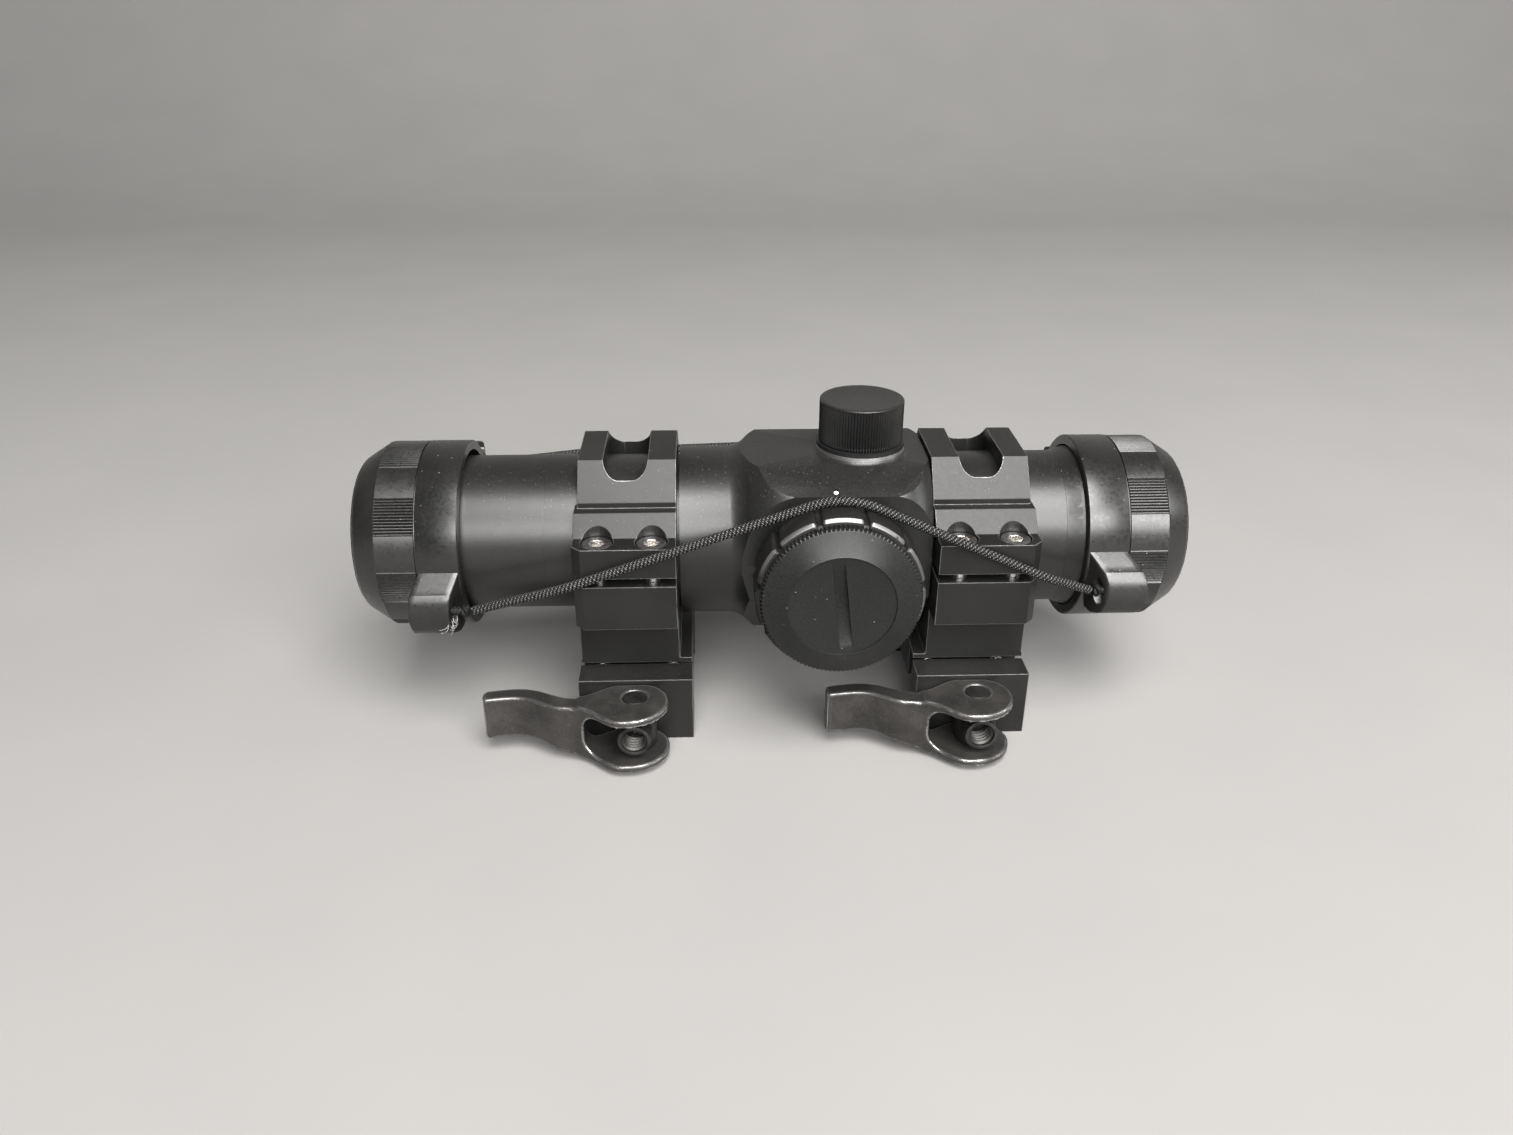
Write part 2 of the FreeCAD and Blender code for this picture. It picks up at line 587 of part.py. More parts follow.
def ring_screws():
    screws = []
    for x, y in screw_places():
        head = z_rod((3.92, 6.5), 2.75, 0, 0)
        shank = z_rod((-6.8, 3.92), 1.48, 0, 0)
        screw = head.fuse(shank).cut(moved(hex_socket(1.45, 1.6), z=6.5))
        screws.append(moved(screw, x, y, AXIS_Z))
    return Part.makeCompound(screws + [mirror_front(screw) for screw in screws])


# ---------------------------------------------------------------- clamp: jaw, bolt, nut and lever
def clamp_jaw():
    """Sliding jaw, drawn open: the closed jaw moved out by its stroke."""
    inner = -JAW_CLOSED_Y
    outline = [(inner + JAW_T, JAW_TOP_Z), (inner, JAW_TOP_Z)] + rail_hook(inner)
    outline += [(inner + JAW_T, HOOK_BOTTOM_Z)]
    jaw = prism_x([(-y - JAW_STROKE, z) for y, z in outline], JAW_X)
    return jaw.cut(y_rod((-30, 0), BOLT_R + 0.07, BOLT_X, BOLT_Z))


def jaw_springs():
    springs = []
    for x in (BOLT_X - JAW_SPRING_X, BOLT_X + JAW_SPRING_X):
        spring = coil(0.95, 0.2, 7.8, 1.3)
        spring.rotate(V(0, 0, 0), X_AXIS, 90)
        springs.append(moved(spring, x=x, y=-9.1, z=JAW_SPRING_Z))
    return Part.makeCompound(springs + [moved(spring, x=-2 * BOLT_X) for spring in springs])


def cross_bolt(x):
    under_head, end = 17.05, 20.4
    shank = y_rod((LEVER_PIVOT_Y - 1.2, under_head), BOLT_R, x, BOLT_Z)
    head = y_rod((under_head, end), BOLT_HEAD_R, x, BOLT_Z)
    socket = hex_socket(2.0, 2.0)
    socket.rotate(V(0, 0, 0), X_AXIS, -90)
    return shank.fuse(head).cut(moved(socket, x=x, y=end, z=BOLT_Z))


def barrel_nut(x):
    """Upright trunnion that the lever turns on, with a threaded snout facing outward."""
    middle = (LEVER_TOP_Z + LEVER_BOTTOM_Z) / 2
    ear_gap = (LEVER_TOP_Z - LEVER_BOTTOM_Z) / 2 - EAR_T
    barrel = z_rod((middle - ear_gap + 0.1, middle + ear_gap - 0.1), NUT_R, x, LEVER_PIVOT_Y)
    journal = z_rod((LEVER_BOTTOM_Z + 0.05, LEVER_TOP_Z - 0.05), JOURNAL_R, x, LEVER_PIVOT_Y)
    snout = y_rod((LEVER_PIVOT_Y - 6.3, LEVER_PIVOT_Y), SNOUT_R, x, BOLT_Z)
    return barrel.fuse(journal).fuse(snout).cut(y_rod((-40, -20), BOLT_R + GAP, x, BOLT_Z))


def smooth(points):
    """Smooth edge through (x, y) points."""
    curve = Part.BSplineCurve()
    curve.interpolate([V(x, y, 0) for x, y in points])
    return curve.toShape()


def cam_point(turn):
    """Point of the cam that touches the jaw once the lever has turned this far (radians).

    The height grows evenly with the turn, so the jaw's travel is in proportion to the lever's.
    """
    rate = JAW_STROKE / LEVER_TRAVEL
    height = CAM_LOW + rate * turn
    facing = math.pi / 2 - turn
    x = height * math.cos(facing) + rate * math.sin(facing)
    y = height * math.sin(facing) - rate * math.cos(facing)
    return (x, y)


def lever():
    """Cam lever, drawn open with its handle towards -X and its pivot at x = y = 0."""
    cam = [cam_point(LEVER_TRAVEL * i / 8) for i in range(9)]
    front = [cam[-1], (-5.0, -7.2), (-8.2, -4.4), (-11.0, -3.0), (-15.0, -2.3), (-18.2, -0.4),
             (-21.0, 0.8), (-24.0, 0.9), (-27.9, 0.3)]
    tip = [(-27.9, 0.3), (-28.5, 1.8), (-28.2, 3.4)]
    rear = [(-28.2, 3.4), (-24.5, 4.1), (-20.2, 4.1), (-16.6, 2.7), (-13.2, 1.1), (-9.8, 0.9),
            (-6.4, 2.9), (-3.4, CAM_LOW)]
    flat = Part.makeLine(V(-3.4, CAM_LOW, 0), V(cam[0][0], cam[0][1], 0))
    edges = [smooth(cam), smooth(front), smooth(tip), smooth(rear), flat]
    body = face_from(edges).extrude(V(0, 0, LEVER_TOP_Z - LEVER_BOTTOM_Z))
    body.translate(V(0, 0, LEVER_BOTTOM_Z))
    under = [(-40, -3.9), (-17, -4.05), (-9.5, LEVER_BOTTOM_Z), (-9.5, -9), (-40, -9)]
    handle_top = LEVER_TOP_Z - 0.4
    over = [(-40, handle_top), (-11.0, handle_top), (-10.2, LEVER_TOP_Z), (-10.2, 9), (-40, 9)]
    body = body.cut(prism_y(under, (-20, 20))).cut(prism_y(over, (-20, 20)))
    low = LEVER_BOTTOM_Z + EAR_T
    high = LEVER_TOP_Z - EAR_T
    corner = 3.0
    back = -9.4
    pocket = box((back + corner, 20), (-20, 20), (low, high))
    pocket = pocket.fuse(box((back, 20), (-20, 20), (low + corner, high - corner)))
    for z in (low + corner, high - corner):
        pocket = pocket.fuse(y_rod((-20, 20), corner, back + corner, z))
    return body.cut(pocket).cut(z_rod((-10, 10), JOURNAL_R + RUN, 0, 0))


# ---------------------------------------------------------------- lens covers and cords
def place_cover(shape, end):
    """Covers are drawn with the mouth at x = 0 and the closed end towards +X."""
    copy = shape.copy()
    if end == 0:
        copy = mirror_front(copy)
    copy = about_tube(copy, -COVER_TILT[end])
    return moved(copy, x=COVER_MOUTH_X[end])


def lug():
    """Cord lug on the near side of the skirt, leaning towards the closed end."""
    flank = [V(0, -16.9, AXIS_Z), V(0, -18.0, AXIS_Z), V(0, -21.0, AXIS_Z - 3.0)]
    nose = Part.Arc(flank[-1], V(0, -22.1, AXIS_Z - 6.6), V(0, -20.6, AXIS_Z - 11.0))
    under = [nose.EndPoint, V(0, -16.6, AXIS_Z - 10.4), flank[0]]
    lines = [Part.makeLine(a, b) for path in (flank, under) for a, b in zip(path, path[1:])]
    section = face_from(lines[:2] + [nose.toShape()] + lines[2:]).extrude(V(20, 0, 0))
    lean = [(0.05, -16), (COVER_SKIRT, -16), (COVER_SKIRT, -18), (10.0, -22.3), (1.8, -22.3), (0.05, -18)]
    return section.common(prism_z(lean, (0, 60)))


def cover_shell():
    drop = (COVER_CONE_X - COVER_BAND) * math.tan(math.radians(COVER_CONE))
    corner = (COVER_CONE_X, COVER_BAND_R - drop)
    face_r = 14.2
    rounding = Part.Arc(V(corner[0], 0, AXIS_Z + corner[1]), V(20.1, 0, AXIS_Z + corner[1] - 0.55),
                        V(COVER_LENGTH, 0, AXIS_Z + face_r))
    seat_x, seat_r = COVER_WINDOW_X[0] - 0.05, COVER_WINDOW_R + RUN
    outline = [(COVER_LENGTH, face_r), (COVER_LENGTH, seat_r), (seat_x, seat_r), (seat_x, 12.4),
               (15.6, 12.4), (15.6, COVER_BORE_R), (0, COVER_BORE_R), (0, COVER_R - 0.1), (0.3, COVER_R),
               (COVER_SKIRT, COVER_R), (COVER_SKIRT, COVER_BAND_R - 0.15),
               (COVER_SKIRT + 0.25, COVER_BAND_R - 0.15), (COVER_SKIRT + 0.25, COVER_BAND_R),
               (COVER_BAND, COVER_BAND_R), corner]
    points = [V(x, 0, AXIS_Z + r) for x, r in outline]
    lines = [Part.makeLine(a, b) for a, b in zip(points, points[1:])]
    shell = face_from([rounding.toShape()] + lines).revolve(AXIS_POINT, X_AXIS, 360)
    out, drop = LUG_HOLE
    for turn in (0, 180):
        ear = lug().cut(x_rod((-1, 12), 0.95, -out, AXIS_Z - drop))
        ear = ear.cut(x_rod((-1, 20), COVER_R - 0.3))
        shell = shell.fuse(about_tube(ear, turn))
    return shell


def cover_window():
    return x_rod(COVER_WINDOW_X, COVER_WINDOW_R)


def cord_knots():
    """Knot against the mouth side of each lug, with a tail through the lug's hole."""
    out, drop = LUG_HOLE
    tail_r = 0.8
    tail_x = 6.5
    knot_end = KNOT_X + math.sqrt(KNOT_R ** 2 - tail_r ** 2)
    ball = Part.Arc(V(KNOT_X - KNOT_R, 0, 0), V(KNOT_X, KNOT_R, 0), V(knot_end, tail_r, 0)).toShape()
    points = [V(knot_end, tail_r, 0), V(tail_x, tail_r, 0), V(tail_x, 0, 0), V(KNOT_X - KNOT_R, 0, 0)]
    lines = [Part.makeLine(a, b) for a, b in zip(points, points[1:])]
    knot = face_from([ball] + lines).revolve(V(0, 0, 0), X_AXIS, 360)
    knot.translate(V(0, -out, AXIS_Z - drop))
    return Part.makeCompound([knot, about_tube(knot, 180)])


def knot_centre(end, side):
    """Middle of a cord's knot: end 0 is the front cover, side -1 is the lever side."""
    out, drop = LUG_HOLE
    tilt = math.radians(COVER_TILT[end])
    y = out * math.cos(tilt) + drop * math.sin(tilt)
    z = out * math.sin(tilt) - drop * math.cos(tilt)
    away = 1 if end == 0 else -1
    return V(COVER_MOUTH_X[end] - away * KNOT_X, side * y, AXIS_Z - side * z)


def rounded_corner(before, corner, after, radius):
    """Arc that rounds the corner between two straight runs, with its two end points."""
    into = V(corner.sub(before)).normalize()
    out = V(after.sub(corner)).normalize()
    half = into.getAngle(out) / 2
    inward = V(out.sub(into)).normalize()
    reach = radius * math.tan(half)
    first = corner.sub(V(into).multiply(reach))
    last = corner.add(V(out).multiply(reach))
    middle = corner.add(V(inward).multiply(radius / math.cos(half) - radius))
    return first, Part.Arc(first, middle, last).toShape(), last


def cord_half(end, side, over_x, over_r):
    """Half a cord: from its knot, outside the ring, and over the knob that holds it up."""
    knot = knot_centre(end, side)
    way = 1 if end == 0 else -1
    dx = way * (over_x - knot.x)
    dz = AXIS_Z - knot.z
    climb = math.atan2(dz, dx) + math.asin(over_r / math.hypot(dx, dz))

    def over(angle):
        x = over_x - way * over_r * math.sin(angle)
        return V(x, side * CORD_Y, AXIS_Z + over_r * math.cos(angle))

    touch = over(climb)
    bend_x = -way * (FOOT_X[1] + 0.5)
    bend = V(bend_x, side * CORD_Y, knot.z + abs(bend_x - knot.x) * math.tan(climb))
    start = knot.add(V(bend.sub(knot)).normalize().multiply(KNOT_R + 0.1))
    first, corner, last = rounded_corner(start, bend, touch, 8.0)
    loop = Part.Arc(touch, over(climb / 2), over(0.0005)).toShape()
    path = Part.Wire([Part.makeLine(start, first), corner, Part.makeLine(last, touch), loop])
    section = Part.Wire(Part.makeCircle(CORD_R, start, bend.sub(start)))
    return path.makePipeShell([section], True, True)


# ---------------------------------------------------------------- the assembly
def build():
    lift = CORD_R + 0.08        # a cord's middle above the knob that holds it up
    near_r = DIAL_R + lift
    far_r = TURRET_CAP_R + lift
    nodes = {
        "main_tube": main_tube(),
        "objective_cell": cell(OBJECTIVE_X, TUBE_FRONT_X, TUBE_FRONT_X + 6.4, OBJECTIVE_X + 3.6,
                               (-66.0, -67.0)),
        "eyepiece_cell": cell(EYEPIECE_X, TUBE_REAR_X, TUBE_REAR_X - 6.4, EYEPIECE_X - 3.6,
                              (TUBE_REAR_X + 0.4, 53.4)),
        "objective_window": x_rod((OBJECTIVE_X + 1.5, OBJECTIVE_X + 1.5 + WINDOW_T), WINDOW_R),
        "eyepiece_window": x_rod((EYEPIECE_X - 1.5 - WINDOW_T, EYEPIECE_X - 1.5), WINDOW_R),
        "objective_retainer": retainer((OBJECTIVE_X + 0.2, OBJECTIVE_X + 1.4), WINDOW_R, 12.2),
        "eyepiece_retainer": retainer((EYEPIECE_X - 1.4, EYEPIECE_X - 0.2), WINDOW_R, 12.2),
        "tube_seals": Part.makeCompound([tube_seal(TUBE_FRONT_X + 3.2), tube_seal(TUBE_REAR_X - 3.2)]),
        "gimbal_ring": gimbal_ring(),
        "pitch_pins": pitch_pins(),
        "yaw_pins": yaw_pins(),
        "erector_tube": erector_tube(),
        "reflector_lens": reflector_lens(),
        "reflector_retainer": retainer((ERECTOR_X[0] + 0.1, ERECTOR_X[0] + 1.2), LENS_R, 8.8),
        "led_bracket": led_bracket(),
        "led_emitter": led_emitter(),
        "return_spring": return_spring(),
        "turret_clips": Part.makeCompound([stand_elevation(turret_clip()), stand_windage(turret_clip())]),
        "turret_seals": Part.makeCompound([stand_elevation(turret_seal()), stand_windage(turret_seal())]),
        "brightness_dial": brightness_dial(),
        "battery_cap": battery_cap(),
        "battery_seal": battery_seal(),
        "coin_cell": coin_cell(),
        "battery_spring": battery_spring(),
        "switch_board": switch_board(),
        "detent_ball": detent_ball(),
        "detent_spring": detent_spring(),
        "rear_ring_base": ring_base(),
        "rear_ring_cap": ring_cap(),
        "front_ring_base": mirror_front(ring_base()),
        "front_ring_cap": mirror_front(ring_cap()),
        "ring_screws": ring_screws(),
        "rear_clamp_jaw": clamp_jaw(),
        "front_clamp_jaw": mirror_front(clamp_jaw()),
        "jaw_springs": jaw_springs(),
        "cross_bolts": Part.makeCompound([cross_bolt(-BOLT_X), cross_bolt(BOLT_X)]),
        "barrel_nuts": Part.makeCompound([barrel_nut(-BOLT_X), barrel_nut(BOLT_X)]),
        "front_lever": moved(lever(), x=-BOLT_X, y=LEVER_PIVOT_Y),
        "rear_lever": moved(lever(), x=BOLT_X, y=LEVER_PIVOT_Y),
    }
    for name, stand in (("elevation", stand_elevation), ("windage", stand_windage)):
        nodes[name + "_bushing"] = stand(turret_bushing())
        nodes[name + "_screw"] = stand(turret_screw())
        nodes[name + "_plunger"] = stand(turret_plunger())
        nodes[name + "_cap"] = stand(turret_cap())
    for end, name in enumerate(("front", "rear")):
        nodes[name + "_cover"] = place_cover(cover_shell(), end)
        nodes[name + "_cover_window"] = place_cover(cover_window(), end)
        nodes[name + "_cord_knots"] = place_cover(cord_knots(), end)
        nodes["near_cord_" + name] = cord_half(end, -1, DIAL_X, near_r)
        nodes["far_cord_" + name] = cord_half(end, 1, TURRET_X, far_r)
    return nodes


def main():
    os.makedirs("parts", exist_ok=True)
    for name, shape in sorted(build().items()):
        shape.exportStep(os.path.join("parts", name + ".step"))


main()
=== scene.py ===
import json
import math
import random

import bmesh
import bpy
from mathutils import Matrix, Vector


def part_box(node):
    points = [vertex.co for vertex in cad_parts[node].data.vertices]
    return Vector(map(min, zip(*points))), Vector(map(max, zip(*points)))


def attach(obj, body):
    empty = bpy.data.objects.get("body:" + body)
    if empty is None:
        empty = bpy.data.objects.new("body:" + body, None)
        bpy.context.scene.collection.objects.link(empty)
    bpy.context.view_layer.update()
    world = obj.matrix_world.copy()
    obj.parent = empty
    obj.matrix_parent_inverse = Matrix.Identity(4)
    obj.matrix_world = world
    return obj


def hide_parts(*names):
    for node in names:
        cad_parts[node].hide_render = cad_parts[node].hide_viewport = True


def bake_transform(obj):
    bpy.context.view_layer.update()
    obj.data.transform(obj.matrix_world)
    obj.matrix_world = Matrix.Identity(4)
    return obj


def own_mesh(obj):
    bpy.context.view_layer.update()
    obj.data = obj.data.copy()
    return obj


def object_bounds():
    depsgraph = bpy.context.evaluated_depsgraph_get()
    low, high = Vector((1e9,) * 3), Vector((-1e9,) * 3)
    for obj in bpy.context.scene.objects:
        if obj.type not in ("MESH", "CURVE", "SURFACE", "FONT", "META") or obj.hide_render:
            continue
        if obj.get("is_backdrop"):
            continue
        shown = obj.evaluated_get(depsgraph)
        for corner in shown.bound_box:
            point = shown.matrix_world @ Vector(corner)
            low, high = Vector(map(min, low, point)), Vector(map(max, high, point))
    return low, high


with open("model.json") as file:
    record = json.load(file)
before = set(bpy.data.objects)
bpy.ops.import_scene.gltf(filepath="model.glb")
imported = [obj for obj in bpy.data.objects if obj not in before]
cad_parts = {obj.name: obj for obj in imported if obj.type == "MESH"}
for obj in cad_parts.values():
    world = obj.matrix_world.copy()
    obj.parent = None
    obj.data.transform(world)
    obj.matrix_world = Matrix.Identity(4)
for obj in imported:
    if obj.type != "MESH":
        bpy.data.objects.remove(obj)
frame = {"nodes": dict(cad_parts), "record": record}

CAD_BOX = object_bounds()
MM = 0.001
TURN = 2 * math.pi
NODES = frame["nodes"]
random.seed(7)


def middle(node):
    low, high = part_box(node)
    return (low + high) / 2


TUBE_AXIS = middle("objective_window")
DIAL_AXIS = middle("battery_spring")
FLOOR_Z = CAD_BOX[0].z


# ---------------------------------------------------------------- node helpers
class Surface:
    """A Principled material with short calls for the textures that it mixes."""

    def __init__(self, name, roughness=0.5, metallic=0.0):
        self.material = bpy.data.materials.new(name)
        self.material.use_nodes = True
        self.tree = self.material.node_tree
        self.shader = self.tree.nodes["Principled BSDF"]
        self.shader.inputs["Roughness"].default_value = roughness
        self.shader.inputs["Metallic"].default_value = metallic
        self.place = self.tree.nodes.new("ShaderNodeTexCoord").outputs["Object"]

    def node(self, kind, **values):
        made = self.tree.nodes.new(kind)
        for key, value in values.items():
            setattr(made, key, value)
        return made

    def link(self, source, target):
        self.tree.links.new(source, target)

    def put(self, value, socket):
        if isinstance(value, bpy.types.NodeSocket):
            self.link(value, socket)
        else:
            socket.default_value = value

    def stretched(self, scale):
        mapping = self.node("ShaderNodeMapping")
        mapping.inputs["Scale"].default_value = scale
        self.link(self.place, mapping.inputs["Vector"])
        return mapping.outputs["Vector"]

    def noise(self, per_mm, detail=3.0, rough=0.5, where=None):
        made = self.node("ShaderNodeTexNoise")
        made.inputs["Scale"].default_value = per_mm / MM
        made.inputs["Detail"].default_value = detail
        made.inputs["Roughness"].default_value = rough
        self.link(where or self.place, made.inputs["Vector"])
        return made.outputs["Fac"]

    def span(self, value, low, high, to_low=0.0, to_high=1.0):
        made = self.node("ShaderNodeMapRange")
        self.put(value, made.inputs["Value"])
        limits = {"From Min": low, "From Max": high, "To Min": to_low, "To Max": to_high}
        for name, number in limits.items():
            made.inputs[name].default_value = number
        return made.outputs["Result"]

    def math(self, operation, first, second=0.0):
        made = self.node("ShaderNodeMath", operation=operation)
        self.put(first, made.inputs[0])
        self.put(second, made.inputs[1])
        return made.outputs["Value"]

    def mix(self, share, first, second):
        made = self.node("ShaderNodeMix", data_type="RGBA")
        self.put(share, made.inputs["Factor"])
        self.put(first, made.inputs["A"])
        self.put(second, made.inputs["B"])
        return made.outputs["Result"]

    def blend(self, share, first, second):
        made = self.node("ShaderNodeMix", data_type="FLOAT")
        self.put(share, made.inputs["Factor"])
        self.put(first, made.inputs["A"])
        self.put(second, made.inputs["B"])
        return made.outputs["Result"]

    def edges(self, width, low, high):
        """1 on the edges, by comparing the surface's direction with that of a rounded copy."""
        rounded = self.node("ShaderNodeBevel", samples=6)
        rounded.inputs["Radius"].default_value = width * MM
        geometry = self.node("ShaderNodeNewGeometry")
        match = self.node("ShaderNodeVectorMath", operation="DOT_PRODUCT")
        self.link(rounded.outputs["Normal"], match.inputs[0])
        self.link(geometry.outputs["Normal"], match.inputs[1])
        return self.span(match.outputs["Value"], 1.0 - low, 1.0 - high)

    def facing_up(self, low=0.3, high=0.95):
        geometry = self.node("ShaderNodeNewGeometry")
        split = self.node("ShaderNodeSeparateXYZ")
        self.link(geometry.outputs["Normal"], split.inputs["Vector"])
        return self.span(split.outputs["Z"], low, high)

    def specks(self, per_mm, share):
        """Scattered dots: 1 inside a dot."""
        cells = self.node("ShaderNodeTexVoronoi", feature="F1")
        cells.inputs["Scale"].default_value = per_mm / MM
        self.link(self.place, cells.inputs["Vector"])
        chosen = self.node("ShaderNodeSeparateColor")
        self.link(cells.outputs["Color"], chosen.inputs["Color"])
        few = self.math("LESS_THAN", chosen.outputs["Red"], share)
        near = self.span(cells.outputs["Distance"], 0.32, 0.12)
        return self.math("MULTIPLY", few, near)

    def bump(self, height, depth, strength=1.0, normal=None):
        made = self.node("ShaderNodeBump")
        made.inputs["Distance"].default_value = depth * MM
        made.inputs["Strength"].default_value = strength
        self.put(height, made.inputs["Height"])
        if normal is not None:
            self.link(normal, made.inputs["Normal"])
        return made.outputs["Normal"]

    def set(self, **values):
        for key, value in values.items():
            self.put(value, self.shader.inputs[key.replace("_", " ")])
        return self.material


def grey(level, warm=0.0, blue=0.0):
    return (level * (1 + warm), level, level * (1 - warm + blue), 1.0)


# ---------------------------------------------------------------- materials
def anodised(name, dark, light, rough, wear, dust, grain=0.012, shine=0.5):
    """Black anodised aluminium: blasted grain, slow colour drift, bright worn edges and settled dust."""
    s = Surface(name)
    drift = s.span(s.noise(0.05, 4), 0.35, 0.68)
    fine = s.noise(4.0, 3, 0.6)
    colour = s.mix(drift, grey(dark, warm=0.03), grey(light, warm=0.02))
    colour = s.mix(s.span(fine, 0.5, 0.8, 0.0, 0.45), colour, grey(light * 3.0, warm=0.02))
    rubbed = 0.0
    if wear:
        patchy = s.span(s.noise(0.35, 5, 0.65), 0.60 - wear * 0.35, 0.66)
        rubbed = s.math("MULTIPLY", s.edges(0.26, 0.01, 0.14), patchy)
        colour = s.mix(rubbed, colour, grey(0.42, warm=0.02))
    settled = s.math("MULTIPLY", s.facing_up(0.1, 0.8), s.specks(3.2, dust))
    grit = s.span(s.noise(7.0, 2), 0.60, 0.72, 0.0, dust * 4)
    powder = s.math("MULTIPLY", s.facing_up(0.2, 0.9), grit)
    colour = s.mix(s.math("MAXIMUM", settled, powder), colour, grey(0.12, warm=0.08))
    roughness = s.blend(rubbed, s.span(s.noise(1.5, 4), 0.3, 0.7, rough - 0.02, rough + 0.03), 0.28)
    return s.set(Base_Color=colour, Roughness=roughness, Metallic=s.blend(rubbed, 0.0, 0.95),
                 Specular_IOR_Level=shine, Normal=s.bump(fine, grain, 0.8))


def cast_steel():
    """Phosphated cast steel: brown-grey skin, granular, with the rims worn to bare metal."""
    s = Surface("phosphated_steel")
    patches = s.span(s.noise(0.18, 5, 0.6), 0.35, 0.7)
    grains = s.noise(3.0, 4, 0.6)
    colour = s.mix(patches, grey(0.026, warm=0.05), grey(0.050, warm=0.07))
    colour = s.mix(s.span(grains, 0.5, 0.8, 0.0, 0.5), colour, grey(0.10, warm=0.05))
    rubbed = s.math("MULTIPLY", s.edges(0.75, 0.01, 0.10), s.span(s.noise(0.22, 5, 0.7), 0.36, 0.54))
    scratches = s.span(s.noise(0.5, 6, 0.7, s.stretched((0.15, 1.0, 3.0))), 0.68, 0.74, 0.0, 0.30)
    bare = s.math("MAXIMUM", rubbed, scratches)
    colour = s.mix(bare, colour, grey(0.60, warm=0.01))
    return s.set(Base_Color=colour, Metallic=s.blend(bare, 0.60, 1.0),
                 Roughness=s.blend(bare, s.span(patches, 0.0, 1.0, 0.34, 0.46), 0.22),
                 Normal=s.bump(grains, 0.016, 0.7))


def bare_steel(name, level, rough, warm=0.02, stain=0.45):
    """Machined steel: lathe lines, oil film and small stains."""
    s = Surface(name, metallic=1.0)
    stains = s.noise(0.3, 4, 0.6)
    lines = s.noise(2.0, 2, 0.5, s.stretched((1.0, 6.0, 1.0)))
    stained = grey(level * stain, warm=0.12 * (1 - stain))
    colour = s.mix(s.span(stains, 0.35, 0.7), grey(level, warm=warm), stained)
    return s.set(Base_Color=colour, Roughness=s.span(lines, 0.3, 0.7, rough - 0.06, rough + 0.12),
                 Normal=s.bump(lines, 0.004, 0.6))


def bushing_finish():
    """Black anodised bushing with a polished silver band next to the housing."""
    s = Surface("bushing_finish")
    fine = s.noise(3.0, 3)
    split = s.node("ShaderNodeSeparateXYZ")
    s.link(s.place, split.inputs["Vector"])
    above = s.math("SUBTRACT", split.outputs["Z"], TUBE_AXIS.z)
    height = s.math("MAXIMUM", above, split.outputs["Y"])
    band_top = 17.90
    silver = s.span(height, (band_top + 0.05) * MM, band_top * MM)
    colour = s.mix(s.span(fine, 0.3, 0.7), grey(0.006), grey(0.012))
    return s.set(Base_Color=s.mix(silver, colour, grey(0.62, warm=0.01)), Metallic=silver,
                 Roughness=s.span(fine, 0.3, 0.7, 0.34, 0.42), Specular_IOR_Level=0.3)


def cover_plastic():
    """Moulded semi-gloss plastic whose skin mottles the highlight."""
    s = Surface("cover_plastic")
    mottle = s.noise(1.5, 4, 0.62)
    broad = s.noise(0.08, 3)
    colour = s.mix(s.span(broad, 0.35, 0.65), grey(0.005, warm=0.02), grey(0.010, warm=0.06))
    dust = s.math("MULTIPLY", s.facing_up(0.2, 0.9), s.specks(2.2, 0.02))
    colour = s.mix(dust, colour, grey(0.18, warm=0.05))
    return s.set(Base_Color=colour, Roughness=s.span(mottle, 0.3, 0.7, 0.25, 0.38),
                 Normal=s.bump(mottle, 0.010, 0.5), Specular_IOR_Level=0.6)


def knob_plastic():
    """Fine matte black with a faint even texture and a few specks."""
    s = Surface("knob_plastic")
    fine = s.noise(3.5, 4, 0.6)
    colour = s.mix(s.span(fine, 0.35, 0.7), grey(0.004), grey(0.012))
    colour = s.mix(s.specks(2.0, 0.012), colour, grey(0.10))
    return s.set(Base_Color=colour, Roughness=s.span(s.noise(0.3, 3), 0.3, 0.7, 0.34, 0.40),
                 Specular_IOR_Level=0.25, Normal=s.bump(fine, 0.012, 0.8))


